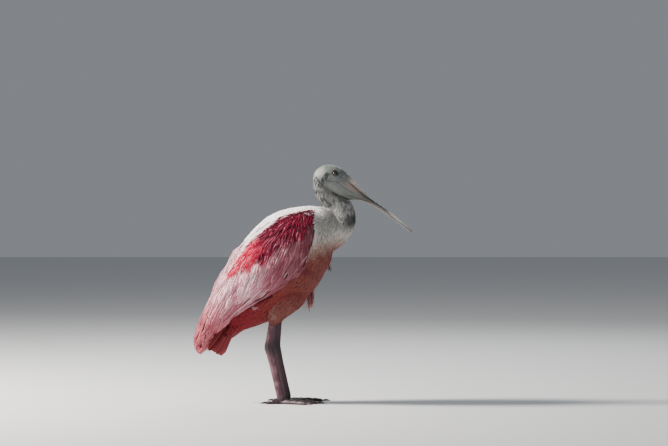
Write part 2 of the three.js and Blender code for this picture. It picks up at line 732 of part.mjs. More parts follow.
function add(name, made, finish) {
  const mesh = made.getMesh();
  const places = new Float32Array(mesh.numVert * 3);
  for (let i = 0; i < mesh.numVert; i++) {
    const start = i * mesh.numProp;
    places.set(mesh.vertProperties.subarray(start, start + 3), 3 * i);
  }
  const geometry = new THREE.BufferGeometry();
  geometry.setAttribute("position", new THREE.BufferAttribute(places, 3));
  geometry.setIndex(new THREE.BufferAttribute(mesh.triVerts, 1));
  geometry.computeVertexNormals();
  const node = new THREE.Mesh(geometry, new THREE.MeshStandardMaterial({ ...finish, metalness: 0 }));
  node.name = name;
  bird.add(node);
}

const neck = neckForm();
add("torso", torsoForm(0), FINISHES.mantle);
add("neck_lower", largest(behind(neck, NECK_BEND, NECK_WAY)), FINISHES.neck);
add("neck_upper", largest(ahead(neck, NECK_BEND, NECK_WAY)), FINISHES.neck);
add("head", headSolid(), FINISHES.skin);
add("bill_upper", upperBill(), FINISHES.bill);
add("bill_lower", lowerBill(), FINISHES.bill);
const tailClear = torsoForm(SEAM);
add("tail", largest(union(tailForm(COVERT_STATIONS, 0), ...tailFan()).subtract(tailClear)), FINISHES.tail);
for (const [name, side] of Object.entries(SIDES)) {
  add(`eye_${name}`, eyeball(side, 0), FINISHES.eye);
  add(`wing_${name}`, wingForm(side), FINISHES.wing);
  const { thigh, tibia, tarsus, foot } = legParts(side);
  add(`thigh_${name}`, thigh, FINISHES.thigh);
  add(`tibia_${name}`, tibia, FINISHES.leg);
  add(`tarsus_${name}`, tarsus, FINISHES.leg);
  add(`foot_${name}`, foot, FINISHES.leg);
  for (const kind of TOES) add(`claw_${kind.name}_${name}`, claw(kind, side), FINISHES.claw);
}

export default bird;
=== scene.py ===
# %% [markdown]
# A roseate spoonbill, standing
#
# This lesson dresses a solid model of a wading bird in skin, scales, horn and feathers. The bird stands on
# both feet, with its neck drawn back into an S and its long bill pointing down. It faces +X, and its left
# side is +Y. The solid model gives every place and size, so each step starts from it: a smooth form is
# drawn from the solids, and the coat is laid on that form one feather at a time, as it grows on a real
# bird.

import math
from collections import namedtuple
from functools import partial
from itertools import product

import bmesh
import bpy
import numpy as np
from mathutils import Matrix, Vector, kdtree, noise
from mathutils.bvhtree import BVHTree


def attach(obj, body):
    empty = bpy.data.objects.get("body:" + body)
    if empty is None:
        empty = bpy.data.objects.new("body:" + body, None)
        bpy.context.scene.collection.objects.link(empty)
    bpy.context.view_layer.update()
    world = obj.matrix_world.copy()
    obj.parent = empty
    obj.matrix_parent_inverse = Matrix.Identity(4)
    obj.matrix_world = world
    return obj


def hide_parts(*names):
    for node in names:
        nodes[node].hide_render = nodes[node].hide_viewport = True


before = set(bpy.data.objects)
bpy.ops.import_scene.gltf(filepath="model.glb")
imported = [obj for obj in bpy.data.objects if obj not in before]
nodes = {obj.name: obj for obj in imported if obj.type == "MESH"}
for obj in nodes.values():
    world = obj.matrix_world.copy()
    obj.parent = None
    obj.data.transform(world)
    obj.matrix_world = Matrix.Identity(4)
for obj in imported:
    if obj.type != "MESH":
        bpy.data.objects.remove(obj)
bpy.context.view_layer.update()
MM = 0.001
SIDES = {"right": -1, "left": 1}

# %% [markdown]
# The place to look from
#
# The bird is seen from its right side through a long lens, from just above the level of its back. A real
# studio would use a pale floor, a strong lamp high up behind the bird's tail, and weak ones in front and on
# the far side. Area lamps do the same here, because their soft edges let the feathers shade each other.

# %% Camera, floor and lamps
FRAME_WIDTH = 1.269  # what the lens takes in at the bird, in metres
SENSOR_WIDTH = 36.0  # in millimetres
CAMERA_DISTANCE = 6.0
CAMERA_RISE = 0.12
CAMERA_AIM = Vector((0.0589, 0.0, 0.342))
LAMP_AIM = Vector((0, 0, 0.25))
LAMPS = [
    # name, place, size, watts, colour
    ("key", (-1.95, -0.04, 1.6), 0.45, 200.0, (1.0, 0.95, 0.88)),
    ("fill", (1.2, -2.8, 1.1), 1.8, 7.5, (0.94, 0.96, 1.0)),
    ("rim", (0.5, 1.9, 1.7), 1.0, 18.0, (0.93, 0.96, 1.0)),
]


def new_object(name, data):
    """An object in the scene that holds the given data."""
    made = bpy.data.objects.new(name, data)
    bpy.context.scene.collection.objects.link(made)
    return made


def facing(place, target):
    """The turn of a camera or lamp that looks from its place at its target."""
    return (target - place).to_track_quat("-Z", "Y").to_euler()


camera = new_object("camera", bpy.data.cameras.new("camera"))
camera.data.sensor_width = SENSOR_WIDTH
camera.data.lens = SENSOR_WIDTH * CAMERA_DISTANCE / FRAME_WIDTH
camera.location = CAMERA_AIM + Vector((0.0, -CAMERA_DISTANCE, CAMERA_RISE))
camera.rotation_euler = facing(camera.location, CAMERA_AIM)
bpy.context.scene.camera = camera

for name, place, size, watts, color in LAMPS:
    light = bpy.data.lights.new(name, "AREA")
    light.size = size
    light.energy = watts
    light.color = color
    holder = new_object(name, light)
    holder.location = place
    holder.rotation_euler = facing(Vector(place), LAMP_AIM)

world = bpy.data.worlds.new("studio")
world.use_nodes = True
sky = world.node_tree.nodes["Background"].inputs
sky["Color"].default_value = (0.83, 0.88, 0.95, 1.0)
sky["Strength"].default_value = 0.27
bpy.context.scene.world = world

floor_mesh = bpy.data.meshes.new("floor")
floor_mesh.from_pydata([(-6, -6, 0), (6, -6, 0), (6, 9, 0), (-6, 9, 0)], [], [(0, 1, 2, 3)])
floor = new_object("floor", floor_mesh)
floor_paint = bpy.data.materials.new("studio_floor")
floor_paint.use_nodes = True
floor_shader = floor_paint.node_tree.nodes["Principled BSDF"].inputs
floor_shader["Base Color"].default_value = (0.66, 0.67, 0.68, 1)
floor_shader["Roughness"].default_value = 0.9
floor_mesh.materials.append(floor_paint)
print("lens", round(camera.data.lens, 1), "mm")

# %% [markdown]
# Small tools
#
# Everything below works on lists of points in millimetres, because a feather is easier to think of in
# millimetres than in metres. A few helpers make soft steps between two values, lay one colour over another,
# and give a grain: random values that change smoothly in space and are the same on every run.

# %% Helpers for points, soft steps and grain
random = np.random.default_rng(11)


def soft(value, start, end):
    """A smooth step from 0 at start to 1 at end."""
    share = np.clip((np.asarray(value, float) - start) / (end - start), 0, 1)
    return share * share * (3 - 2 * share)


def bell(value, middle, width):
    """1 at the middle, fading to both sides over about width."""
    return np.exp(-(((value - middle) / width) ** 2))


def unit(vectors):
    return vectors / np.maximum(np.linalg.norm(vectors, axis=-1, keepdims=True), 1e-9)


def grain(points, size, turn=0.0):
    """Smooth random values from 0 to 1 that change over about size millimetres."""
    spot = points / size + 31.7 + turn
    cell = np.floor(spot)
    part = spot - cell
    part = part * part * (3 - 2 * part)
    total = np.zeros(len(points))
    for corner in product((0, 1), repeat=3):
        at = cell + corner
        value = np.modf(np.abs(np.sin(at @ (12.9898, 78.233, 37.719)) * 43758.5453))[0]
        weight = np.prod(np.where(corner, part, 1 - part), axis=1)
        total += weight * value
    return total


def line_at(line, x):
    """The height of a line, given by its corners, over each x."""
    return np.interp(x, *line.T)


def srgb(red, green, blue):
    """A screen colour, 0 to 255, as linear light."""
    share = np.array((red, green, blue)) / 255
    return np.where(share <= 0.04045, share / 12.92, ((share + 0.055) / 1.055) ** 2.4)


def mix(first, second, share):
    share = np.asarray(share, float)
    if share.ndim:
        share = share[..., None]
    return first + (second - first) * share


def layers(color, *washes):
    """A colour with washes over it in turn, each a colour and how much of it shows."""
    for wash, share in washes:
        color = mix(color, wash, share)
    return color


# %% [markdown]
# From points to pieces
#
# These helpers turn points and faces into a mesh, close a tube of rings, colour the points, and hand a
# finished piece in: it rides on the bird's one body and takes the place of the solids it is named for.

# %% Helpers for meshes
def rows_of(items, label):
    """A vector of three for each item of a mesh."""
    flat = np.empty(len(items) * 3)
    items.foreach_get(label, flat)
    return flat.reshape(-1, 3)


def points_of(mesh):
    return rows_of(mesh.vertices, "co") / MM


def normals_of(mesh):
    return rows_of(mesh.vertex_normals, "vector")


def move_points(mesh, points):
    mesh.vertices.foreach_set("co", (points * MM).ravel())


def mesh_of(name, points, faces):
    mesh = bpy.data.meshes.new(name)
    mesh.from_pydata((points * MM).tolist(), [], faces)
    return mesh


def tube_faces(rings, size, flip=False):
    """The squares between the rings of a tube, size points to a ring, and a face to close each end."""
    ring = np.arange(size)
    after = (ring + 1) % size
    strip = np.stack((ring, after, after + size, ring + size), axis=1)
    squares = (strip + size * np.arange(rings - 1)[:, None, None]).reshape(-1, 4)
    faces = [*squares.tolist(), ring[::-1].tolist(), (ring + size * (rings - 1)).tolist()]
    return [face[::-1] for face in faces] if flip else faces


def outward_faces(mesh):
    work = bmesh.new()
    work.from_mesh(mesh)
    bmesh.ops.recalc_face_normals(work, faces=work.faces)
    work.to_mesh(mesh)
    work.free()
    return mesh


def paint(mesh, colors):
    marks = mesh.color_attributes
    layer = marks.get("Marking") or marks.new("Marking", "FLOAT_COLOR", "POINT")
    full = np.ones((len(colors), 4))
    full[:, :3] = np.clip(colors, 0, 1)
    layer.data.foreach_set("color", full.ravel())


def plain_mesh(holder):
    """The mesh that an object's modifiers make. The object itself goes."""
    mesh = bpy.data.meshes.new_from_object(holder.evaluated_get(bpy.context.evaluated_depsgraph_get()))
    bpy.data.objects.remove(holder)
    return mesh


def hand_in(name, mesh, material, slot_name, *replaced):
    """A mesh as a finished piece of the bird."""
    mesh.name = name
    mesh.shade_smooth()
    mesh.materials.append(material)
    made = new_object(name, mesh)
    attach(made, "root")
    if replaced:
        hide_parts(*replaced)
    print(name, len(mesh.polygons), "faces")


# %% [markdown]
# One smooth form under all the feathers
#
# Under its coat a bird has one unbroken skin. The solids are separate pieces, so copies of them are merged
# and rebuilt as one surface of small even squares. That removes every seam between body, neck, wings and
# thighs. The tail's root is a soft swelling, lofted from a few ellipses, because its thin feathers come
# later.

# %% Lofts and rebuilt skins
TAIL_ROOT = np.array((-117.0, 0.0, 190.0))
TAIL_PITCH = math.radians(-126)
tail_along = np.array((math.cos(TAIL_PITCH), 0, math.sin(TAIL_PITCH)))
tail_up = np.array((tail_along[2], 0, -tail_along[0]))
SWELLING = [
    # how far down the tail, how far up, half the depth, half the width
    (-12, -12, 2, 2), (4, -16, 19, 22), (30, -18, 18, 22), (54, -16, 12, 18), (76, -14, 6, 12),
    (92, -13, 1, 2),
]
RING = 16  # points round the swelling
SMOOTHING = 0.5
WELD = 1e-6  # points closer than this, in metres, are one


def tail_points(along, across, rise):
    """Points in the tail's own frame: down its length, to the left, and up from its upper face."""
    outer = np.multiply.outer
    return TAIL_ROOT + outer(along, tail_along) + outer(across, (0, 1, 0)) + outer(rise, tail_up)


def swelling_mesh():
    turn = np.linspace(0, 2 * math.pi, RING, endpoint=False)
    rings = [
        tail_points(np.full(RING, along), wide * np.cos(turn), rise + deep * np.sin(turn))
        for along, rise, deep, wide in SWELLING
    ]
    return outward_faces(mesh_of("swelling", np.concatenate(rings), tube_faces(len(rings), RING)))


def rebuilt(name, names, voxel, rounds, extra=()):
    """Merged copies of solid nodes as one smooth closed surface of even squares, voxel millimetres wide."""
    work = bmesh.new()
    for mesh in (*(nodes[n].data for n in names), *extra):
        work.from_mesh(mesh)
    bmesh.ops.remove_doubles(work, verts=work.verts, dist=WELD)
    mesh = bpy.data.meshes.new(name)
    work.to_mesh(mesh)
    work.free()
    holder = new_object(name, mesh)
    remesh = holder.modifiers.new("remesh", "REMESH")
    remesh.mode = "VOXEL"
    remesh.voxel_size = voxel * MM
    smooth = holder.modifiers.new("smooth", "SMOOTH")
    smooth.factor = SMOOTHING
    smooth.iterations = rounds
    return plain_mesh(holder)


FLESH = ["torso", "neck_lower", "neck_upper", "head", "wing_right", "wing_left", "thigh_right", "thigh_left"]
form = rebuilt("form", FLESH, voxel=2.4, rounds=8, extra=[swelling_mesh()])
form_points = points_of(form)
form_normals = normals_of(form)
form_tree = BVHTree.FromPolygons(form_points.tolist(), [tuple(p.vertices) for p in form.polygons])
face_corners = np.array([(*p.vertices, p.vertices[0])[:4] for p in form.polygons])
face_middles = form_points[face_corners].mean(axis=1)
face_normals = unit(form_normals[face_corners].mean(axis=1))
face_areas = np.array([p.area for p in form.polygons]) / MM**2
print("form", len(form.polygons), "squares", round(face_areas.sum()), "mm2")

# %% [markdown]
# Which part a place belongs to
#
# The colour and length of a feather depend on where it grows. Each square of the form takes the name of the
# solid that lies nearest to it, so that wing, thigh, neck and body can be told apart later.

# %% Name each square of the form
tree_points, tree_faces, tree_names = [], [], []
for n in FLESH + ["tail"]:
    start = len(tree_points)
    solid = nodes[n].data
    tree_points += points_of(solid).tolist()
    tree_faces += [tuple(start + v for v in p.vertices) for p in solid.polygons]
    tree_names += [n.split("_")[0]] * len(solid.polygons)
solids_tree = BVHTree.FromPolygons(tree_points, tree_faces)
part_of_face = np.array([tree_names[solids_tree.find_nearest(Vector(m))[2]] for m in face_middles])
part_of_point = np.full(len(form_points), "torso", dtype=part_of_face.dtype)
part_of_point[face_corners.ravel()] = np.repeat(part_of_face, 4)
print({n: int((part_of_face == n).sum()) for n in sorted(set(part_of_face))})

# %% [markdown]
# The lie of the feathers
#
# Feathers point away from the bill: down the neck, back over the mantle and down to the tail. Guide points
# carry that direction, seen from the side, and every place on the form takes a blend of its nearest guides,
# laid flat on the surface. That is how a groomer combs a coat, with a few strokes and the rest following.

# %% Guides for the lie of the coat
GUIDES = np.array(
    [
        # how far forward, how high, and the way down the coat in degrees
        (30, 426, -105), (27, 405, -85), (40, 398, -68), (52, 392, -50), (47, 384, -48), (70, 376, -62),
        (85, 371, -75), (60, 362, -85), (80, 350, -98), (98, 352, -100), (65, 331, -112), (90, 322, -118),
        (72, 300, -122), (48, 342, -140), (45, 361, -176), (34, 366, 180), (10, 370, -178), (-20, 362, -168),
        (-60, 342, -152), (-100, 312, -140), (-140, 272, -128), (-180, 222, -118), (-205, 160, -110),
        (0, 340, -96), (-30, 310, -101), (-80, 260, -104), (-120, 220, -108), (0, 290, -99), (-50, 230, -108),
        (-100, 190, -115), (-170, 140, -114), (50, 290, -122), (20, 262, -132), (30, 300, -118),
        (-10, 235, -145), (-40, 215, -150), (-80, 188, -146), (-110, 168, -138), (-32, 200, -122),
        (-45, 176, -108), (-57, 156, -104), (-150, 150, -128), (-165, 120, -126),
    ],
    float,
)


def lie(points, normals):
    """The way a feather points at each place, along the surface."""
    gap = points[:, None, (0, 2)] - GUIDES[None, :, :2]
    weight = 1 / (np.sum(gap**2, axis=2) + 30) ** 1.6
    angle = np.radians(GUIDES[:, 2])
    flat = np.stack((weight @ np.cos(angle), np.zeros(len(points)), weight @ np.sin(angle)), axis=1)
    flat = unit(flat)
    return unit(flat - normals * np.sum(flat * normals, axis=1, keepdims=True))


face_lie = lie(face_middles, face_normals)
print("guides", len(GUIDES))

# %% [markdown]
# The bird's colours
#
# A roseate spoonbill has a mottled grey neck, a white mantle, pink wings under a carmine band, and a belly
# that turns from salmon to deep red. The same function of place colours the skin and every feather on it,
# so the two never disagree. The band's lower edge is broken by a stretched grain, as its plumes hang over
# the pink. Light and shade are painted into these colours too: painted light pales the wing's lower rear,
# and painted shade darkens the front and lower edge of the wing, the front of the band, the breast, the
# low belly and a fold low on the breast.

# %% Colours and the lines between them
WHITE = srgb(240, 234, 233)
BREAST = srgb(184, 181, 175)
NECK_PALE = srgb(174, 174, 170)
NECK_GREY = srgb(124, 123, 122)
NECK_DARK = srgb(56, 58, 60)
PINK_PALE = srgb(238, 170, 184)
PINK = srgb(172, 92, 110)
PINK_DUSKY = srgb(124, 62, 72)
WING_TIP = srgb(190, 92, 104)
CARMINE = srgb(208, 10, 66)
MAROON = srgb(80, 4, 36)
SALMON = srgb(116, 63, 58)
BELLY_RED = srgb(114, 45, 42)
BEIGE = srgb(152, 122, 110)
UNDERTAIL = srgb(112, 24, 34)
RUST = srgb(150, 62, 58)
THIGH_RED = srgb(126, 76, 72)

# lines seen from the side, from tail to head: how far forward and how high
BAND_TOP = np.array(
    [(-139, 247.5), (-130, 266.4), (-108, 295), (-82, 320), (-45, 350.5), (-7, 362), (18, 362)]
)
BAND_FOOT = np.array(
    [(-133, 238), (-111, 251), (-89, 263), (-63, 279), (-45, 300), (-16, 310), (15, 326), (22, 342)]
)
WING_FOOT = np.array(
    [
        (-205, 88), (-176, 126), (-151, 147), (-126, 164), (-97, 184), (-55, 206), (-18, 238), (7, 276),
        (20, 308),
    ]
)
JAW = [(38, 414), (47, 406), (58, 399), (69, 389), (85, 381)]
THROAT = [(64, 394), (85, 381), (100, 381), (118, 384)]
FLOW = math.radians(-112)  # the way the wing's feathers hang


def above_wing_foot(points):
    """How far a place lies above the folded wing's lower edge."""
    return points[:, 2] - line_at(WING_FOOT, points[:, 0])


def along_flow(points, size, stretch, turn=0.0):
    """Grain drawn out down the wing, so that it breaks an edge into streaks."""
    down = points[:, 0] * math.cos(FLOW) + points[:, 2] * math.sin(FLOW)
    across = points[:, 0] * math.sin(FLOW) - points[:, 2] * math.cos(FLOW)
    return grain(np.stack((across, points[:, 1], down / stretch), axis=1), size, turn)


def crease(points, line, width):
    """1 on a line drawn from the side, fading over width millimetres."""
    flat = points[:, (0, 2)]
    near = np.full(len(points), np.inf)
    for start, end in zip(line[:-1], line[1:]):
        start, way = np.array(start, float), np.array(end, float) - start
        share = np.clip((flat - start) @ way / (way @ way), 0, 1)
        near = np.minimum(near, np.linalg.norm(flat - start - share[:, None] * way, axis=1))
    return bell(near, 0, width)


def band_share(points):
    """1 inside the carmine band, 0 outside it, with a broken lower edge."""
    x, z = points[:, 0], points[:, 2]
    streak = along_flow(points, 4.5, 5)
    below_top = soft(line_at(BAND_TOP, x) - z, -3, 4)
    above_foot = soft(z - line_at(BAND_FOOT, x) + 26 * (streak - 0.5), -5, 5)
    return below_top * above_foot * soft(24 - x, -1, 4) * soft(x + 143, -3, 6)


# %% Colours by place
def wing_color(points):
    """Pink under a white shoulder and the carmine band, with painted light and shade: painted light makes
    it paler and white-streaked low down behind, and painted shade makes it dusky in front and along its lower
    edge. The carmine turns maroon in front, partly its own colour and partly painted shade.
    """
    x, z = points[:, 0], points[:, 2]
    streak = along_flow(points, 3.5, 9, 5.0)
    wide = along_flow(points, 12, 5, 9.0)
    # painted light: the lower rear of the wing, where the light falls
    pale = soft(-x, 50, 130) * soft(z, 150, 215)
    # maroon towards the front of the band: partly its own colour, partly painted shade
    deep = np.clip(soft(x, -108, -68) * 0.9 + 0.8 * (streak - 0.4), 0, 1)
    return layers(
        PINK,
        # painted light: paler pink low down behind
        (PINK_PALE, np.clip(0.05 + 0.75 * pale + 0.8 * (wide - 0.5), 0, 1)),
        # painted shade: duskier pink in front
        (PINK_DUSKY, 0.85 * soft(x - 0.3 * (z - 250), -85, 0) + 0.1 * soft(wide, 0.6, 0.4)),
        (WING_TIP, 0.7 * soft(180 - z, 0, 60) + 0.4 * soft(-x - 0.3 * (250 - z), 125, 165)),
        # painted shade along the wing's lower edge
        (PINK_DUSKY, 0.6 * soft(34 - above_wing_foot(points), 0, 34) * soft(x, -150, -90)),
        # the feathers' own white streaks, shown only where the light falls, so partly painted light
        (WHITE, 0.5 * soft(streak, 0.58, 0.85) * soft(-x, 50, 110) * soft(z, 150, 200)),
        (WHITE, soft(z - line_at(BAND_TOP, x), -2, 5) * soft(x, -128, -100)),
        (mix(CARMINE, MAROON, deep), band_share(points)),
    )


def neck_color(points):
    """Fine grey mottling drawn out along the feathers, darker down the front, with a painted shadow under the
    jaw.
    """
    x, z = points[:, 0], points[:, 2]
    mottle = grain(points * (1, 1, 0.5), 2.3) * 0.65 + grain(points, 6, 3.0) * 0.35
    rear = soft(60 - x, -6, 8) * soft(z, 352, 370)
    front = soft(x + 0.35 * (352 - z), 76, 93) * soft(z, 300, 325) * soft(368 - z, 0, 16)
    nape = soft(36 - x + 0.3 * np.maximum(400 - z, 0), -6, 8) * soft(z, 372, 386)
    return layers(
        mix(NECK_GREY, NECK_PALE, soft(mottle, 0.3, 0.7)),
        (NECK_DARK, 0.32 * soft(0.42 - mottle, 0, 0.14)),
        (NECK_DARK, 0.34 * rear),
        (NECK_DARK, 0.8 * front),
        (NECK_DARK, 0.5 * nape * soft(mottle, 0.62, 0.42)),
        # painted shadow under the jaw
        (NECK_DARK, 0.6 * crease(points, JAW, 3.5)),
    )


def body_color(points):
    """White above and pale grey at the breast, then beige, salmon and deep red down to the tail. The grey of
    the breast and the deepening red low down are partly the feathers' own colour and partly painted shade,
    and a maroon patch is painted shade for a fold low on the breast.
    """
    x, y, z = points.T
    flush_line = 281 + 0.25 * (x - 10) + 12 * (grain(points, 9, 7.0) - 0.5)
    # deeper red towards the bottom and rear: partly the feathers' own colour, partly painted shade
    depth = soft(-x, -40, 60) * 0.6 + soft(240 - z, 0, 60) * 0.6
    down = x + 0.9 * (z - 285)
    # painted shade: a maroon patch for a fold low on the breast
    fold = soft(down, -46, -28) * soft(-8 - down, -6, 10) * soft(z, 236, 252) * soft(np.abs(y), 14, 30)
    flush = layers(
        SALMON,
        (BELLY_RED, np.clip(depth + 0.4 * (grain(points, 9, 2.0) - 0.5), 0, 1)),
        (MAROON, 0.7 * soft(x + (250 - z) * 0.5, 42, 66) * soft(290 - z, 0, 25)),
        (MAROON, 0.5 * fold),
        (UNDERTAIL, soft(-x, 40, 110)),
    )
    neck_edge = np.interp(z, (320, 345, 362, 372, 380, 392), (74, 63, 51, 37, 10, -10))
    return layers(
        WHITE,
        # the grey breast: partly its own tone, partly painted shade on the white
        (BREAST, soft(x, 12, 34) * soft(366 - z, 0, 20)),
        (BEIGE, 0.8 * soft(330 - z, 0, 38) * soft(x, 0, 20)),
        (neck_color(points), soft(z - 0.25 * (x - 60), 310, 340) * soft(x - neck_edge, -8, 8)),
        (flush, soft(flush_line - z, -20, 14) * soft(372 - z, 0, 60)),
    )


def plumage(points, part):
    """The colour at each place, from the part it lies on."""
    color = body_color(points)
    wing, thigh, tail = (part == name for name in ("wing", "thigh", "tail"))
    color[wing] = wing_color(points[wing])
    on_thigh = points[thigh]
    pale = crease(on_thigh, [(-64, 198), (-56, 168)], 8) * soft(grain(on_thigh, 4, 5.0), 0.3, 0.7)
    color[thigh] = layers(THIGH_RED, (BELLY_RED, 0.7 * grain(on_thigh, 5)), (BEIGE, 0.6 * pale))
    color[tail] = mix(UNDERTAIL, RUST, 0.5 * grain(points[tail], 6))
    return color


print("carmine share of the form", round(float(band_share(face_middles).mean()), 3))

# %% [markdown]
# Finishes that share their detail
#
# A feather's vane is made of barbs that run out from its shaft at a slant, and scales, skin and horn each
# have their own fine relief. These patterns are shader groups that put out a tint and a height. Each finish
# places the group with its own values and keeps its own shader.

# %% Shader groups
def add_node(tree, kind, inputs=(), **settings):
    """A node with its settings. Each input takes a value, or a link from another node's socket."""
    made = tree.nodes.new(kind)
    for key, value in settings.items():
        setattr(made, key, value)
    for label, source in dict(inputs).items():
        if hasattr(source, "node"):
            tree.links.new(source, made.inputs[label])
        else:
            made.inputs[label].default_value = source
    return made


def maths(tree, operation, *values):
    return add_node(tree, "ShaderNodeMath", enumerate(values), operation=operation).outputs[0]


def noise_of(tree, place, detail):
    inputs = {"Scale": 1.0, "Detail": detail, "Vector": place}
    return add_node(tree, "ShaderNodeTexNoise", inputs).outputs["Fac"]


def pattern_group(name, values):
    """A shader group that takes a place and some values, and gives a tint and a height."""
    tree = bpy.data.node_groups.new(name, "ShaderNodeTree")
    tree.interface.new_socket("Place", in_out="INPUT", socket_type="NodeSocketVector")
    for label, value in values.items():
        made = tree.interface.new_socket(label, in_out="INPUT", socket_type="NodeSocketFloat")
        made.default_value = value
    for label in ("Tint", "Height"):
        tree.interface.new_socket(label, in_out="OUTPUT", socket_type="NodeSocketFloat")
    return tree, tree.nodes.new("NodeGroupInput").outputs


def put_out(tree, tint, height):
    """The tint swings about 1 and darkens or lightens the marking. The height goes to a bump."""
    add_node(tree, "NodeGroupOutput", {"Tint": maths(tree, "ADD", tint, 1.0), "Height": height})
    return tree


def barb_group():
    """Barbs. The place is millimetres across the vane, millimetres along it, and the feather's own number."""
    tree, given = pattern_group("barbs", {"Spacing": 0.5, "Contrast": 0.2})
    calc = partial(maths, tree)
    across, along, number = add_node(tree, "ShaderNodeSeparateXYZ", {0: given["Place"]}).outputs
    across = calc("ABSOLUTE", across)
    slant = calc("SUBTRACT", along, calc("MULTIPLY", across, 1.3))
    lines = calc("SINE", calc("MULTIPLY", calc("DIVIDE", slant, given["Spacing"]), 2 * math.pi))
    spot = {0: calc("MULTIPLY", slant, 0.9), 1: calc("MULTIPLY", across, 0.12), 2: number}
    spot = add_node(tree, "ShaderNodeCombineXYZ", spot).outputs[0]
    clumps = calc("MULTIPLY", calc("SUBTRACT", noise_of(tree, spot, 3.0), 0.5), 3.0)
    height = calc("ADD", calc("MULTIPLY", lines, 0.25), clumps)
    return put_out(tree, calc("MULTIPLY", height, given["Contrast"]), height)


def relief_group():
    """Fine skin or horn. The place is in millimetres, stretched as the finish asks."""
    tree, given = pattern_group("relief", {"Size": 1.0, "Cells": 0.5, "Contrast": 0.2})
    calc = partial(maths, tree)
    spot = {0: given["Place"], "Scale": calc("DIVIDE", 1.0, given["Size"])}
    spot = add_node(tree, "ShaderNodeVectorMath", spot, operation="SCALE").outputs[0]
    cells = add_node(tree, "ShaderNodeTexVoronoi", {"Vector": spot}, feature="DISTANCE_TO_EDGE")
    plates = calc("MINIMUM", calc("MULTIPLY", cells.outputs["Distance"], 4.0), 1.0)
    fine = calc("MULTIPLY", noise_of(tree, spot, 6.0), 0.8)
    height = calc("ADD", fine, calc("MULTIPLY", plates, given["Cells"]))
    return put_out(tree, calc("MULTIPLY", calc("SUBTRACT", height, 0.6), given["Contrast"]), height)


BARBS = barb_group()
RELIEF = relief_group()
print("groups", [g.name for g in (BARBS, RELIEF)])

# %% [markdown]
# Finishes
#
# Every finish starts from the marking that its piece carries, times the tint of its group, and the height
# goes through a bump. Feathers are matt with a little sheen, the bill is satin horn, the legs are scaled
# and half matt, and the eye is wet.

# %% Materials
PER_MM = (1000, 1000, 1000)  # object coordinates are in metres, the patterns in millimetres


def finish_of(name, pattern, place, values, bump, distance, **constants):
    """A material whose colour is the Marking attribute times a group's tint."""
    material = bpy.data.materials.new(name)
    material.use_nodes = True
    tree = material.node_tree
    node = partial(add_node, tree)
    if place == "Vane":
        spot = node("ShaderNodeAttribute", attribute_name="Vane")
    else:
        in_metres = node("ShaderNodeTexCoord").outputs["Object"]
        spot = node("ShaderNodeMapping", {"Vector": in_metres, "Scale": place})
    marking = node("ShaderNodeAttribute", attribute_name="Marking").outputs["Color"]
    detail = node("ShaderNodeGroup", {"Place": spot.outputs["Vector"], **values}, node_tree=pattern).outputs
    color = node("ShaderNodeVectorMath", {0: marking, "Scale": detail["Tint"]}, operation="SCALE")
    raised = node("ShaderNodeBump", {"Strength": bump, "Distance": distance * MM, "Height": detail["Height"]})
    shader = tree.nodes["Principled BSDF"].inputs
    tree.links.new(color.outputs[0], shader["Base Color"])
    tree.links.new(raised.outputs[0], shader["Normal"])
    for label, value in constants.items():
        shader[label.replace("_", " ")].default_value = value
    return material


def barbed(name, spacing, contrast, bump, distance, **constants):
    values = {"Spacing": spacing, "Contrast": contrast}
    return finish_of(name, BARBS, "Vane", values, bump, distance, **constants)


def grained(name, size, cells, contrast, bump, distance, place=PER_MM, **constants):
    values = {"Size": size, "Cells": cells, "Contrast": contrast}
    return finish_of(name, RELIEF, place, values, bump, distance, **constants)


FEATHER = barbed("feather", 0.55, 0.3, 0.35, 0.12, Roughness=0.8, Specular_IOR_Level=0.2)
QUILL = barbed("flight_feather", 0.7, 0.25, 0.4, 0.15, Roughness=0.7, Specular_IOR_Level=0.3)
DOWN = grained("underlayer", 2.5, 0.0, 0.4, 0.5, 0.4, Roughness=0.9)
SKIN = grained("bare_skin", 1.3, 0.35, 0.35, 0.5, 0.25, Roughness=0.58)
HORN = grained("bill_horn", 3.0, 0.0, 0.2, 0.1, 0.1, place=(900, 1500, 900), Roughness=0.45)
SCALES = grained("leg_scales", 0.9, 0.1, 0.3, 0.3, 0.12, Roughness=0.5)
CLAW = grained("claw_horn", 1.2, 0.0, 0.4, 0.2, 0.1, Roughness=0.5, Specular_IOR_Level=0.3)
EYE = grained("wet_eye", 0.7, 0.0, 0.5, 0.05, 0.05, Roughness=0.16, Coat_Weight=0.6, Coat_Roughness=0.05)
print("materials", len(bpy.data.materials))

# %% [markdown]
# The feathered skin
#
# The form, drawn in by two millimetres, is the skin that the feathers grow from. It is seen only where the
# coat parts, so it carries the coat's own markings a little darker, as shadowed down.

# %% Skin under the coat
form_marking = plumage(form_points, part_of_point)
DOWN_SHADE = 0.7
skin_depth = np.where(part_of_point == "head", 4.0, 2.2)
skin_mesh = form.copy()
move_points(skin_mesh, form_points - form_normals * skin_depth[:, None])
paint(skin_mesh, form_marking * DOWN_SHADE)
hand_in("skin_under", skin_mesh, DOWN, "body", *(n for n in FLESH if n != "head"), "tail")

# %% [markdown]
# A feather, many times
#
# Each feather is a thin closed blade with a raised shaft, a little cambered and broad in its middle. It
# could be one mesh copied about, but a real feather bends over the body, so each one here is drawn along its
# own path on the form: a root sunk in the skin, and a tip that stands a little proud and lies on the next
# feather down. The coat's flat map, OFBake, gives each feather a small patch at its root's place on the
# bird's unwrapped skin: how far down the spine it grows, and how far round.

# %% The bird's skin unwrapped
PATCH = 0.003  # a feather's patch on the flat map
SPINE = np.array(
    [
        (60, 440), (38, 425), (39, 408), (52, 391), (70, 374), (77, 351), (64, 332), (30, 326), (-17, 292),
        (-70, 229), (-115, 176), (-150, 140), (-190, 92),
    ],
    float,
)


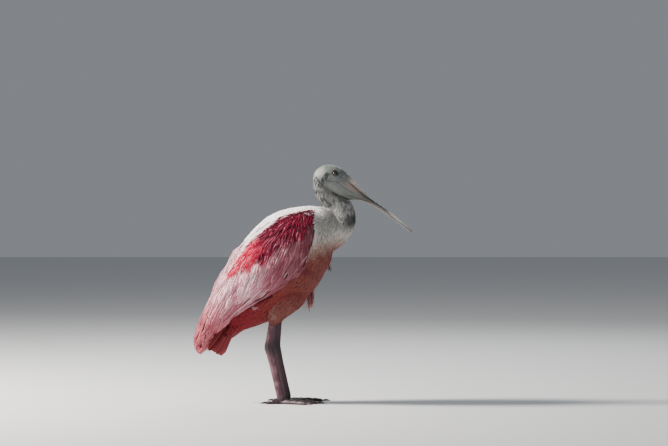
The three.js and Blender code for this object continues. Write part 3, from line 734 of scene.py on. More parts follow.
def unwrapped(points):
    """Along the spine and round it, for each place."""
    flat = points[:, (0, 2)]
    best = np.full(len(points), np.inf)
    place = np.zeros((len(points), 2))
    step = np.diff(SPINE, axis=0)
    for i, (start, way) in enumerate(zip(SPINE[:-1], step)):
        share = np.clip((flat - start) @ way / (way @ way), 0, 1)
        gap = flat - start - share[:, None] * way
        far = np.linalg.norm(gap, axis=1)
        up = (gap[:, 0] * -way[1] + gap[:, 1] * way[0]) / np.linalg.norm(way)
        nearer = far < best
        best = np.where(nearer, far, best)
        angle = np.arctan2(points[:, 1], -up) / (2 * math.pi) + 0.5
        place[nearer] = np.stack(((i + share) / len(step), angle), axis=1)[nearer]
    return place


def fitted(place):
    """A piece's unwrap spread over its own map."""
    low, high = place.min(axis=0), place.max(axis=0)
    return 0.01 + 0.975 * (place - low) / np.maximum(high - low, 1e-6)


print("spine", len(SPINE), "points")

# %% Paths, blades and coats
# share runs from 0 at a feather's root to 1 at its tip, across from -1 to 1 over its width
Blades = namedtuple("Blades", "points faces vane share across")
# further from the form than this, with this share of its length added, a feather runs on past it
FREE_GAP, FREE_SHARE = 6, 0.12


def paths(roots, ways, lengths, stations, lift, keep):
    """Follows the form from each root, keeping some of its way. Gives places and ways out at each station."""
    places = np.zeros((len(roots), len(stations), 3))
    outs = np.zeros(places.shape)
    for i, length in enumerate(lengths):
        here = Vector(roots[i])
        way = Vector(ways[i])
        out = Vector((0, 0, 0))
        before = 0.0
        for j, share in enumerate(stations):
            here = here + way * (length * (share - before))
            before = share
            spot, _, face, gap = form_tree.find_nearest(here)
            if gap < FREE_GAP + FREE_SHARE * length or j == 0:
                here = spot
                out = Vector(face_normals[face])
                way = (way * keep + Vector(face_lie[face]) * (1 - keep)) if j else way
            way = (way - out * way.dot(out)).normalized()
            places[i, j] = here
            outs[i, j] = out
    return places + outs * lift[:, :, None], outs


def blades(places, outs, halves, thick, columns=3, camber=0.12, shaft=0.3, tilt=0.0, ragged=0.0):
    """Closed blades along paths, with a raised shaft, a tilt of their own and a ragged edge."""
    count, steps, _ = places.shape
    along = unit(np.gradient(places, axis=1))
    side = unit(np.cross(along, outs))
    upward = unit(np.cross(side, along))
    top = np.linspace(-1, 1, columns)
    ring = np.concatenate((top, top[-2:0:-1]))
    low = np.concatenate((np.zeros(columns), np.ones(columns - 2)))
    size = len(ring)
    fray = 1 + ragged * (random.random((count, steps, size)) - 0.5) * np.abs(ring)
    half = halves[:, :, None]
    across = half * ring * fray
    up = half * (-camber * ring**2) + shaft * (np.abs(ring) < 0.01) * (1 - low)
    up = up - low * thick * (1 - 0.6 * np.abs(ring)) + np.reshape(tilt, (-1, 1, 1)) * across
    points = places[:, :, None] + side[:, :, None] * across[..., None] + upward[:, :, None] * up[..., None]
    run = np.pad(np.cumsum(np.linalg.norm(np.diff(places, axis=1), axis=2), axis=1), ((0, 0), (1, 0)))
    number = random.random(count)[:, None, None] * 97
    vane = np.stack(np.broadcast_arrays(across, run[:, :, None], number), axis=-1)
    share = (run / np.maximum(run[:, -1:], 1e-6))[:, :, None]
    one = tube_faces(steps, size, flip=True)
    starts = steps * size * np.arange(count)[:, None, None]
    faces = (np.array(one[:-2]) + starts).reshape(-1, 4).tolist()
    faces += (np.array(one[-2:]) + starts).reshape(-1, size).tolist()
    share, ring = (np.broadcast_to(values, across.shape).ravel() for values in (share, ring))
    return Blades(points.reshape(-1, 3), faces, vane.reshape(-1, 3), share, ring)


def to_points(values, made):
    """A value for each feather, handed to all its points."""
    return np.repeat(values, len(made.points) // len(values), axis=0)


def coat_piece(name, made, roots, colors, material, slot_name, *replaced):
    """A coat of blades as one piece, with its markings, its vane places and its flat map."""
    mesh = mesh_of(name, made.points, made.faces)
    paint(mesh, colors)
    mesh.attributes.new("Vane", "FLOAT_VECTOR", "POINT").data.foreach_set("vector", made.vane.ravel())
    flat = to_points(fitted(unwrapped(roots)), made)
    flat = flat + np.stack((made.across, 2 * made.share - 1), axis=1) * PATCH / 2
    corner = np.empty(len(mesh.loops), int)
    mesh.loops.foreach_get("vertex_index", corner)
    mesh.uv_layers.new(name="OFBake").data.foreach_set("uv", flat[corner].ravel())
    print(len(roots), "feathers")
    hand_in(name, mesh, material, slot_name, *replaced)


# %% [markdown]
# Short contour feathers
#
# The head's bare skin gives way to tiny neck feathers, which grow longer down the neck and over the breast.
# Roots are scattered so that no two are closer than a sixth of a feather's length, each one lies as the
# guides say with a small turn of its own, and its colour is the marking where it lies.

# %% Scatter the roots of the contour feathers
ROOT_SPACING = 0.165  # as a share of the feather's length
ROOT_TRIES = 200000


def above_feather_line(points):
    """How far a place lies above the line on the head where the neck's feathers end, highest at the nape."""
    return points[:, 2] - np.interp(points[:, 0], (14, 26, 34, 42, 120), (433, 430, 418, 401, 379))


def bareness(points):
    """1 on the head's bare skin, 0 where neck feathers grow."""
    return soft(above_feather_line(points) + 4 * (grain(points, 5) - 0.5), -3, 3)


def feather_length(points, part):
    """How long the feathers are: tiny under the head, longest on body and tail."""
    x, _, z = points.T
    neck = soft((z - 0.6 * (x - 60) - 300) / 80 * soft(x, 40, 62), 0, 1)
    length = np.where(z > 380, np.interp(z, (380, 410), (8.5, 6)), 19.0 - 11.0 * neck)
    length = np.where(part == "thigh", np.interp(z, (150, 205), (8, 17)), length)
    length = np.where(part == "tail", 24.0, length)
    return np.where(part == "wing", 15.0, length)


def scatter(share_of, spacing, tries):
    """Faces and places chosen so that none lies closer to another than its own spacing."""
    chance = share_of * face_areas / spacing**2
    chosen = random.choice(len(face_areas), tries, p=chance / chance.sum())
    a, b = random.random((2, tries, 1))
    corner = form_points[face_corners[chosen]]
    near_edge = corner[:, 0] * (1 - a) + corner[:, 1] * a
    far_edge = corner[:, 3] * (1 - a) + corner[:, 2] * a
    spots = near_edge * (1 - b) + far_edge * b
    tree = kdtree.KDTree(tries)
    for i, spot in enumerate(spots):
        tree.insert(spot, i)
    tree.balance()
    kept = np.ones(tries, bool)
    for i in range(tries):
        if kept[i]:
            for _, j, _ in tree.find_range(spots[i], spacing[chosen[i]]):
                if j > i:
                    kept[j] = False
    return chosen[kept], spots[kept]


def turned(ways, outs, spread):
    """Each way turned about the surface's own way out by a random angle."""
    angle = random.normal(0, spread, len(ways))[:, None]
    return unit(ways * np.cos(angle) + np.cross(outs, ways) * np.sin(angle))


lengths_of_face = feather_length(face_middles, part_of_face)
below_shoulder = face_middles[:, 2] < 336 + 0.56 * (face_middles[:, 0] - 6)
under_tiers = (part_of_face == "wing") & below_shoulder & (np.abs(face_middles[:, 1]) > 12)
grows = (1 - bareness(face_middles)) * ~under_tiers
grows[(part_of_face == "tail") & (face_middles[:, 2] < 135)] = 0
faces_chosen, roots = scatter(grows, ROOT_SPACING * lengths_of_face, ROOT_TRIES)
part_of_root = part_of_face[faces_chosen]
lengths = lengths_of_face[faces_chosen] * random.uniform(0.85, 1.15, len(roots))
print("contour roots", len(roots), {n: int((part_of_root == n).sum()) for n in sorted(set(part_of_root))})

# %% Build the contour coat, region by region
STATIONS = np.array((0.0, 0.3, 0.6, 0.85, 1.0))
ROUND = np.array((0.45, 0.9, 1.0, 0.72, 0.2))
NARROW = np.array((0.4, 1.0, 0.85, 0.5, 0.08))
ROOT_SINK = 0.8


def contour(name, chosen, width, outline, tip_rise, slot_name, spread=0.12, thick=0.35):
    """One region's contour feathers, as wide for their length as width says."""
    index = np.flatnonzero(chosen)
    count = len(index)
    size = lengths[index]
    outs = face_normals[faces_chosen[index]]
    ways = turned(face_lie[faces_chosen[index]], outs, spread)
    lift = np.tile(-ROOT_SINK + (tip_rise + ROOT_SINK) * STATIONS**0.6, (count, 1))
    lift *= np.minimum(size / 12, 1)[:, None] * random.uniform(0.8, 1.25, (count, 1))
    places, ups = paths(roots[index], ways, size, STATIONS, lift, keep=0.5)
    halves = 0.5 * size[:, None] * width * outline * random.uniform(0.85, 1.15, (count, 1))
    made = blades(places, ups, halves, thick, tilt=random.normal(0, 0.05, count), ragged=0.35)
    middles = to_points(places[:, 2], made)
    colors = plumage(0.5 * made.points + 0.5 * middles, to_points(part_of_root[index], made))
    own = to_points(random.normal(1, 0.07, count), made)[:, None]
    colors = colors * own * (0.8 + 0.25 * made.share[:, None])
    coat_piece(name, made, roots[index], colors, FEATHER, slot_name)


root_x, root_y, root_z = roots.T
on_wing, on_thigh, on_tail = (part_of_root == part for part in ("wing", "thigh", "tail"))
on_neck = ((root_z - 0.25 * (root_x - 60) > 338) & (root_x > 22) | (root_z > 385)) & ~on_wing
on_body = ~(on_wing | on_thigh | on_tail | on_neck)
contour("coat_neck_upper", on_neck & (root_z > 385), 0.33, NARROW, 0.35, "neck", 0.15, 0.15)
contour("coat_neck_lower", on_neck & (root_z <= 385), 0.34, NARROW, 0.5, "neck", 0.15, 0.15)
contour("coat_body_right", on_body & (root_y < 0), 0.42, ROUND, 0.8, "body")
contour("coat_body_left", on_body & (root_y >= 0), 0.42, ROUND, 0.8, "body")
contour("coat_wing_fore_right", on_wing & (root_y < 0), 0.4, ROUND, 0.8, "wing")
contour("coat_wing_fore_left", on_wing & (root_y >= 0), 0.4, ROUND, 0.8, "wing")
contour("coat_thighs", on_thigh, 0.4, NARROW, 0.9, "thigh")
contour("coat_tail_coverts", on_tail, 0.38, ROUND, 1.2, "tail")

# %% [markdown]
# Long wing feathers
#
# A folded wing shows its feathers in tiers: the primaries at the tip, the secondaries under three rows of
# coverts, and the scapulars on top. Each tier runs along a bowed line from the wrist to the wing's rear
# edge, and each feather leans a little, under the one in front and over the one behind. More and finer
# feathers are laid here than the solid has, on the same lines.

# %% Tiers of the folded wing
LONG_STATIONS = np.linspace(0, 1, 13) ** 0.9
BLUNT = np.interp(LONG_STATIONS, (0, 0.1, 0.4, 0.7, 0.88, 0.96, 1), (0.35, 0.7, 0.95, 1, 0.82, 0.5, 0.12))
POINTED = np.interp(LONG_STATIONS, (0, 0.1, 0.4, 0.65, 0.85, 0.95, 1), (0.35, 0.75, 1, 0.95, 0.62, 0.3, 0.06))
TIERS = [
    # outline, number, first and last root, first and last pitch and length, width, sink, rise
    (BLUNT, 8, (-96, 214), (-148, 230), (-131, -110), (112, 146), 17, 0.0, 1.2),  # primaries
    (BLUNT, 22, (12, 298), (-150, 226), (-114, -112), (64, 98), 15, 0.1, 1.4),  # secondaries
    (POINTED, 30, (12, 321), (-146, 247), (-110, -113), (50, 74), 11, 0.1, 1.7),  # greater coverts
    (POINTED, 34, (10, 338), (-136, 266), (-108, -114), (38, 52), 9, 0.1, 1.9),  # median coverts
    (POINTED, 36, (8, 350), (-124, 284), (-110, -118), (28, 38), 8, 0.0, 2.0),  # lesser coverts
    (POINTED, 28, (2, 362), (-114, 292), (-146, -124), (40, 54), 9, 0.0, 2.2),  # scapulars
]


def tier(outline, count, first, last, pitch, length, width, sink, rise, side):
    """The paths of one row of long feathers: roots, places, ways out and half widths."""
    share = np.linspace(0, 1, count)
    between = partial(np.interp, share, (0, 1))
    bow = 14 * np.sin(math.pi * share)
    x = between((first[0], last[0])) - 0.4 * bow
    z = between((first[1], last[1])) + 0.9 * bow
    angle = np.radians(between(pitch)) + random.normal(0, 0.02, count)
    size = between(length) * random.uniform(0.95, 1.05, count)
    aim = np.stack((np.cos(angle), np.zeros(count), np.sin(angle)), axis=1)
    spots = np.zeros((count, 3))
    for i in range(count):
        spot, _, _, _ = form_tree.ray_cast(Vector((x[i], side * 120, z[i])), Vector((0, -side, 0)))
        spots[i] = spot if spot is not None else (x[i], side * 30, z[i])
    lift = np.tile(np.interp(LONG_STATIONS, (0, 0.75, 1), (-1.2 + sink, rise, rise + 0.4)), (count, 1))
    lift += 0.35 * random.random((count, 1))
    places, outs = paths(spots, aim, size, LONG_STATIONS, lift, keep=0.97)
    halves = 0.5 * width * outline * random.uniform(0.85, 1.15, (count, 1))
    halves = halves * (1 - 0.15 * (random.random((count, len(LONG_STATIONS))) > 0.8))
    return spots, places, outs, halves


def wing_coat(side_name):
    side = SIDES[side_name]
    made = [tier(*row, side) for row in TIERS]
    spots, places, outs, halves = (np.concatenate(part) for part in zip(*made))
    made = blades(places, outs, halves, 0.5, columns=7, camber=0.08, shaft=0.4, tilt=-0.1 * side, ragged=0.14)
    own = to_points(random.normal(1, 0.08, len(spots)), made)[:, None]
    width = np.abs(made.across)
    rim = 0.1 * soft(width, 0.4, 1.0) * soft(1 - band_share(made.points), 0, 1)
    colors = layers(wing_color(made.points), (WHITE, rim), (MAROON, 0.25 * (width < 0.05))) * own
    coat_piece(f"coat_wing_{side_name}", made, spots, colors, QUILL, "wing", f"wing_{side_name}")


for side_name in SIDES:
    wing_coat(side_name)

# %% [markdown]
# Plumes over the coverts
#
# Over the coverts hangs a band of narrow carmine plumes, and paler ones lie between them and over the pink.
# They are single soft strands rather than broad vanes, so their ends break every edge into streaks. They
# are laid like the contour feathers, and each keeps one colour down its length, which is what makes the
# wing look streaked.

# %% Lay the plumes
WING_FRONT = 24.0  # no plume is rooted ahead of the folded wing
PLUME_TRIES = 20000


def plumes(name, wanted, spacing, sizes, widths, height, hanging, reach, tint):
    """Narrow plumes whose tips end where they are wanted, each rooted its own length further up."""
    chosen, tips = scatter(wanted, np.full(len(face_middles), spacing), PLUME_TRIES)
    outs = face_normals[chosen]
    ways = turned(face_lie[chosen], outs, 0.1)
    ways = unit(ways + np.multiply.outer(hanging * soft(tips[:, 0], -50, 5), (0, 0, -1)))
    size = reach(tips, random.uniform(*sizes, len(tips)))
    spots = tips - ways * size[:, None]
    behind = spots[:, 0] < WING_FRONT
    tips, spots, ways, size = (kept[behind] for kept in (tips, spots, ways, size))
    count = len(spots)
    lift = (height + 0.9 * STATIONS)[None] + random.uniform(0, 0.8, (count, 1)) * STATIONS**0.5
    lift[:, 0] = -0.5
    places, ups = paths(spots, ways, size, STATIONS, lift, keep=0.85)
    halves = 0.5 * random.uniform(*widths, (count, 1)) * NARROW
    made = blades(places, ups, halves, 0.25, tilt=random.normal(0, 0.06, count), ragged=0.25)
    coat_piece(name, made, spots, tint(tips, made), FEATHER, "wing")


def carmine_tint(tips, made):
    """Carmine, turning maroon in front, partly its own colour and partly painted shade, with pale plumes
    among it towards the band's end.
    """
    # painted shade in part: the plumes turn maroon towards the front
    deep = np.clip(soft(tips[:, 0], -108, -68) * 0.95 + random.normal(0.02, 0.2, len(tips)), 0, 1)
    end = soft(-tips[:, 0], 84, 128)
    stray = random.random(len(tips)) < 0.08 + 0.35 * end
    color = layers(CARMINE, (MAROON, deep), (mix(PINK, PINK_PALE, 0.8 * end), 0.8 * stray))
    return mix(to_points(color, made), mix(CARMINE, PINK, 0.6), 0.3 * soft(made.share, 0.6, 1.0))


def pale_tint(tips, made):
    """The wing's own colour, some plumes whiter where the light falls and some duskier."""
    lit = soft(-tips[:, 0], 50, 120) * soft(tips[:, 2], 150, 215)
    white = np.clip(random.normal(0, 0.1 + 0.2 * lit) + 0.12 * lit, 0, 0.75)
    dark = np.clip(random.normal(0, 0.14, len(tips)), 0, 0.45)
    return to_points(layers(wing_color(tips), (WHITE, white), (PINK_DUSKY, dark)), made)


def up_to_band_top(tips, size):
    """A plume with its tip here is rooted its own length further up, but no higher than the band's top."""
    room = line_at(BAND_TOP, tips[:, 0]) - tips[:, 2] + 2
    return np.minimum(size, np.maximum(1.1 * room, 9))


def below_band_foot(tips, size):
    """Over the pink, a plume starts no higher than the middle of the band above it."""
    room = line_at(BAND_FOOT, tips[:, 0]) + 12 - tips[:, 2]
    return np.where(room > 0, np.minimum(size, np.maximum(room, 12)), np.minimum(size, 18))


in_band = band_share(face_middles)
over_wing = ((part_of_face == "wing") | (part_of_face == "torso")) & (face_middles[:, 2] > 225)
plumes("coat_carmine", in_band * over_wing, 2.9, (16, 34), (1.6, 3.2), 1.5, 2.0, up_to_band_top, carmine_tint)
over_pink = (1 - in_band) * (part_of_face == "wing") * soft(above_wing_foot(face_middles), 2, 12)
plumes("coat_pale_streaks", over_pink, 4.4, (26, 62), (2.6, 5.0), 1.2, 0.6, below_band_foot, pale_tint)

# %% [markdown]
# Loose tufts
#
# A few feathers never lie flat: a wisp hangs from the front of the belly, some frayed ones stick out at the
# breast, and a pale tuft shows on each flank before the thigh. Each tuft is a small bunch of plumes that
# starts on the form and hangs in its own direction, with the ends spread.

# %% Hang the loose tufts
FLANK = mix(BREAST, PINK, 0.6)
TUFTS = [
    # place, the way it hangs, number, length, width, spread, colour
    ((9, 0, 217), (-0.1, 0, -1), 40, 31, 3.0, 0.17, srgb(158, 96, 96)),
    ((47, 0, 264), (0.0, 0, -1), 10, 13, 2.4, 0.2, MAROON),
    ((-89, -40, 184), (-0.6, -0.1, -0.6), 22, 6, 2.4, 0.35, FLANK),
    ((-84, 40, 187), (-0.6, 0.1, -0.6), 22, 6, 2.4, 0.35, FLANK),
]


def loose_tufts():
    rows = []
    for place, way, number, length, width, spread, color in TUFTS:
        for _ in range(number):
            near = np.array(place) + random.normal(0, max(length / 8, 2), 3)
            spot, _, face, _ = form_tree.find_nearest(Vector(near))
            lean = unit(np.array(way) + random.normal(0, spread, 3))
            rows.append((spot, lean, length * random.uniform(0.6, 1.1), width, color, face_normals[face]))
    spots, ways, size, width, colors, out = (np.array(column) for column in zip(*rows))
    places = spots[:, None] - out[:, None] * 1.5 + ways[:, None] * (size[:, None] * STATIONS)[..., None]
    places = places + out[:, None] * (2.5 * np.sin(STATIONS * math.pi * 0.6))[None, :, None]
    outs = np.broadcast_to(unit(out + 0.3 * random.normal(0, 1, out.shape))[:, None], places.shape)
    made = blades(places, outs, 0.5 * width[:, None] * NARROW, 0.25, ragged=0.5)
    colors = to_points(colors, made) * random.uniform(0.85, 1.1, (len(made.points), 1))
    coat_piece("coat_tufts", made, spots, colors, FEATHER, "body")


loose_tufts()

# %% [markdown]
# Soft fringe on neck and thighs
#
# Between the lying feathers of neck and thighs stand the loose ends of finer ones, which blur their edges.
# They could be laid one by one like the plumes, but they are all alike and too short to bend over the body.
# So Geometry Nodes scatter one small tuft over the form: evenly spaced points, each turned to the surface
# and combed along the lie, with a little chance in its turn and size.

# %% One tuft, as long as one unit
def tuft_mesh():
    ring = np.array([(-1, 0.0), (0, 0.25), (1, 0.0), (0, -0.25)])
    points, blade = [], []
    for share, half in zip(STATIONS, 0.13 * NARROW):
        for across, up in ring:
            points.append((share, half * across, 0.26 * share - 0.1 * share**2 + half * up))
            blade.append((across, share, 0))
    mesh = bpy.data.meshes.new("tuft")
    mesh.from_pydata(points, [], tube_faces(len(STATIONS), len(ring)))
    outward_faces(mesh)
    layer = mesh.attributes.new("Blade", "FLOAT_VECTOR", "POINT")
    layer.data.foreach_set("vector", np.array(blade, float).ravel())
    return mesh


# %% The tree that scatters tufts
DENSITY = 2e6  # more points than the spacing lets stand
INPUTS = {
    "Form": "Geometry", "Tuft": "Object", "Spacing": "Float", "Length": "Float", "Seed": "Int",
    "Finish": "Material",
}


def fringe_tree():
    tree = bpy.data.node_groups.new("fringe", "GeometryNodeTree")
    sockets = {}
    for label, kind in INPUTS.items():
        made = tree.interface.new_socket(label, in_out="INPUT", socket_type=f"NodeSocket{kind}")
        sockets[label] = made.identifier
    tree.interface.new_socket("Fringe", in_out="OUTPUT", socket_type="NodeSocketGeometry")
    node = partial(add_node, tree)
    given = node("NodeGroupInput").outputs

    def stored(label, kind):
        return node("GeometryNodeInputNamedAttribute", {"Name": label}, data_type=kind).outputs["Attribute"]

    def chance(low, high, kind, turn):
        seed = node("ShaderNodeMath", {0: given["Seed"], 1: turn}, operation="ADD").outputs[0]
        made = node("FunctionNodeRandomValue", {"Seed": seed}, data_type=kind)
        active = [socket for socket in made.inputs if socket.enabled and socket.name in ("Min", "Max")]
        for socket, value in zip(active, (low, high)):
            socket.default_value = value
        return next(socket for socket in made.outputs if socket.enabled)

    spread = node(
        "GeometryNodeDistributePointsOnFaces",
        {
            "Mesh": given["Form"], "Distance Min": given["Spacing"], "Density Max": DENSITY,
            "Density Factor": stored("Wanted", "FLOAT"), "Seed": given["Seed"],
        },
        distribute_method="POISSON",
    )
    combed = node(
        "FunctionNodeAxesToRotation",
        {"Primary Axis": spread.outputs["Normal"], "Secondary Axis": stored("Lie", "FLOAT_VECTOR")},
        primary_axis="Z", secondary_axis="X",
    )
    lean = chance((-0.3, -0.25, -0.45), (0.3, 0.15, 0.45), "FLOAT_VECTOR", 1)
    lean = node("FunctionNodeEulerToRotation", {0: lean}).outputs[0]
    leaning = node(
        "FunctionNodeRotateRotation",
        {"Rotation": combed.outputs[0], "Rotate By": lean},
        rotation_space="LOCAL",
    ).outputs[0]
    growth = chance(0.65, 1.25, "FLOAT", 2)
    size = node("ShaderNodeMath", {0: given["Length"], 1: growth}, operation="MULTIPLY").outputs[0]
    place = node("GeometryNodeInputPosition").outputs[0]
    marked = node(
        "GeometryNodeStoreNamedAttribute",
        {"Geometry": spread.outputs["Points"], "Name": "Root", "Value": place},
        data_type="FLOAT_VECTOR", domain="POINT",
    )
    tuft = node("GeometryNodeObjectInfo", {"Object": given["Tuft"]}).outputs["Geometry"]
    placed = node(
        "GeometryNodeInstanceOnPoints",
        {"Points": marked.outputs[0], "Instance": tuft, "Rotation": leaning, "Scale": size},
    )
    real = node("GeometryNodeRealizeInstances", {"Geometry": placed.outputs[0]})
    coated = node("GeometryNodeSetMaterial", {"Geometry": real.outputs[0], "Material": given["Finish"]})
    node("NodeGroupOutput", {"Fringe": coated.outputs[0]})
    return tree, sockets


FRINGE, FRINGE_SOCKETS = fringe_tree()
tuft_holder = bpy.data.objects.new("tuft", tuft_mesh())
print("tuft faces", len(tuft_holder.data.polygons), "inputs", list(FRINGE_SOCKETS))

# %% Scatter the fringe
form_lie = lie(form_points, form_normals)


def fringe(name, wanted, spacing, length, seed, slot_name):
    """Tufts over the places of the form where wanted is above nought, as one plain mesh."""
    host_mesh = form.copy()
    paint(host_mesh, form_marking)
    host_mesh.attributes.new("Wanted", "FLOAT", "POINT").data.foreach_set("value", wanted.astype(float))
    host_mesh.attributes.new("Lie", "FLOAT_VECTOR", "POINT").data.foreach_set("vector", form_lie.ravel())
    host = new_object(name, host_mesh)
    scattered = host.modifiers.new("fringe", "NODES")
    scattered.node_group = FRINGE
    values = {"Tuft": tuft_holder, "Spacing": spacing * MM, "Length": length * MM, "Seed": seed}
    for label, value in {**values, "Finish": FEATHER}.items():
        scattered[FRINGE_SOCKETS[label]] = value
    mesh = plain_mesh(host)
    per = len(tuft_holder.data.vertices)
    blade = rows_of(mesh.attributes["Blade"].data, "vector")
    spots = rows_of(mesh.attributes["Root"].data, "vector")[::per] / MM
    colors = np.empty(len(mesh.vertices) * 4)
    mesh.attributes["Marking"].data.foreach_get("color", colors)
    own = np.repeat(random.normal(1.04, 0.1, len(spots)), per)[:, None]
    colors = colors.reshape(-1, 4)[:, :3] * own * (0.85 + 0.25 * blade[:, 1:2])
    number = np.repeat(random.random(len(spots)) * 97, per)
    vane = np.stack((0.5 * blade[:, 0], length * blade[:, 1], number), axis=1)
    faces = [tuple(p.vertices) for p in mesh.polygons]
    made = Blades(points_of(mesh), faces, vane, blade[:, 1], blade[:, 0])
    bpy.data.meshes.remove(mesh)
    coat_piece(name, made, spots, colors, FEATHER, slot_name)


ahead, _, height = form_points.T
feathered = 1 - bareness(form_points)
on_neck = soft(height - 0.25 * (ahead - 60), 318, 336) * soft(ahead + np.maximum(height - 385, 0), 26, 34)
fringe("coat_neck_fringe", on_neck * feathered * (part_of_point != "wing"), 2.0, 5.0, 3, "neck")
fringe("coat_thigh_fringe", 1.0 * (part_of_point == "thigh"), 2.4, 6.5, 4, "thigh")

# %% [markdown]
# The tail
#
# Twelve stiff feathers make a short fan that droops to both sides, the middle pair on top. They keep the
# places of the solid's tail feathers and are thinner, with rounder ends. Two layers of long soft coverts
# above them close the gap between the tail and the folded wings.

# %% Tail feathers and their coverts
TAIL_LENGTH = 113
FAN_DROOP = 0.045
COVER_DROOP = 0.03


def tail_blades(down, out, rise, droop, halves, thick, **look):
    """Blades in the tail's own frame, each turned to the curve of the fan."""
    places = tail_points(down, out, rise)
    outs = unit(tail_up + 2 * droop * out[..., None] * np.array((0, 1, 0)))
    return places[:, 0], blades(places, outs, halves, thick, columns=7, **look)


def tail_feathers():
    order = (np.arange(12) - 5.5) / 5.5
    turn = np.radians(9 * order)
    length = TAIL_LENGTH * (1 - 0.07 * np.abs(order)) * random.uniform(0.965, 1, 12)
    along = LONG_STATIONS[None] * length[:, None]
    out = along * np.sin(turn)[:, None] + 4 * order[:, None]
    down = along * np.cos(turn)[:, None]
    rise = -1.3 * np.abs(np.arange(12) - 5.5)[:, None] - FAN_DROOP * out**2 - 0.2
    square = np.interp(LONG_STATIONS, (0, 0.1, 0.4, 0.7, 0.9, 0.96, 1), (0.4, 0.7, 0.95, 1, 0.93, 0.75, 0.3))
    halves = 9.2 * square[None] * random.uniform(0.9, 1.05, (12, 1))
    spots, made = tail_blades(down, out, rise, FAN_DROOP, halves, 0.5, camber=0.08, shaft=0.6, ragged=0.06)
    tone = along_flow(made.points, 4, 6) + to_points(random.uniform(-0.25, 0.25, 12), made)
    width = np.abs(made.across)
    colors = layers(
        RUST,
        (UNDERTAIL, np.clip(0.15 + 0.7 * tone, 0, 1)),
        (PINK, 0.35 * soft(width, 0.55, 1)),
        (MAROON, 0.5 * soft(0.12 - width, 0, 0.08)),
    )
    coat_piece("coat_tail", made, spots, colors, QUILL, "tail", "tail")


def tail_cover():
    order = np.tile(np.linspace(-1, 1, 9), 2) + random.normal(0, 0.05, 18)
    upper = np.repeat((0, 1), 9)
    length = np.where(upper, 103, 112) * (1 - 0.06 * np.abs(order)) * random.uniform(0.95, 1.03, 18)
    share = LONG_STATIONS[None]
    down = 8 + share * (length - 8)[:, None]
    out = (7 * order)[:, None] + (9 * order)[:, None] * share
    top = np.where(upper, 13.0, 6.5)[:, None]
    rise = 3 + (top - 3) * share - COVER_DROOP * out**2 + random.uniform(-0.5, 0.5, (18, 1))
    halves = 6.5 * BLUNT[None] * random.uniform(0.85, 1.15, (18, 1))
    spots, made = tail_blades(down, out, rise, COVER_DROOP, halves, 0.4, camber=0.1, shaft=0.3, ragged=0.2)
    tone = 0.6 * along_flow(made.points, 4, 6) + to_points(random.uniform(0, 0.4, 18), made)
    colors = layers(UNDERTAIL, (MAROON, 0.5), (RUST, tone))
    coat_piece("coat_tail_cover", made, spots, colors, QUILL, "tail")


tail_feathers()
tail_cover()

# %% [markdown]
# The bare head
#
# The head has no feathers: it is tight greenish-grey skin, with a dark patch round the ear, soft folds at
# the corner of the mouth and rings of creases round the eye. It is rebuilt from the solid head and the top
# of the neck at a fine spacing, and the folds are pushed into the surface itself, so that they show from
# any side.

# %% Head skin with its folds
EYE_MIDDLE = {side: np.array((60.69, side * 14.69, 435.95)) for side in (-1, 1)}
EYE_OUT = {side: unit(np.array((0.22, side * 0.88, 0.42))) for side in (-1, 1)}
SKIN_GREY = srgb(102, 107, 106)
SKIN_PALE = srgb(142, 147, 139)
SKIN_DARK = srgb(34, 38, 40)
CHEEK_FOLD = [(40, 421.5), (52, 423), (67, 420), (76, 419)]
BROW_FOLD = [(76, 428), (70, 432), (66, 438)]
CHIN_FOLD = [(58, 410), (68, 404), (76, 399)]
MOUTH_CORNER = [(67, 414), (66, 406)]
EAR_LINE = [(45, 433), (40, 425), (36, 416)]


def head_relief(points, wrinkle):
    """How far the skin stands out: rings round the eyes, folds, fine wrinkles and the ear's rough patch."""
    x, y, z = points.T
    rise = np.zeros(len(points))
    for side in (-1, 1):
        gap = points - EYE_MIDDLE[side]
        out = gap @ EYE_OUT[side]
        ring = np.linalg.norm(gap - out[:, None] * EYE_OUT[side], axis=1)
        near = soft(11 - ring, 0, 5) * (np.abs(out) < 9)
        rise += near * 0.28 * np.sin((ring - 5.2) * 2.6) * (ring > 5.4)
    for fold, depth, width in ((CHEEK_FOLD, 0.55, 1.4), (BROW_FOLD, 0.4, 1.0), (CHIN_FOLD, 0.35, 1.1)):
        rise -= depth * crease(points, fold, width)
    rise += 0.42 * wrinkle * soft(np.abs(y), 4, 12)
    ear = np.exp(-(((x - 38) / 6) ** 2 + ((z - 423) / 8) ** 2)) * (np.abs(y) > 8)
    return rise + 0.7 * ear * (grain(points, 1.6, 8.0) - 0.6)


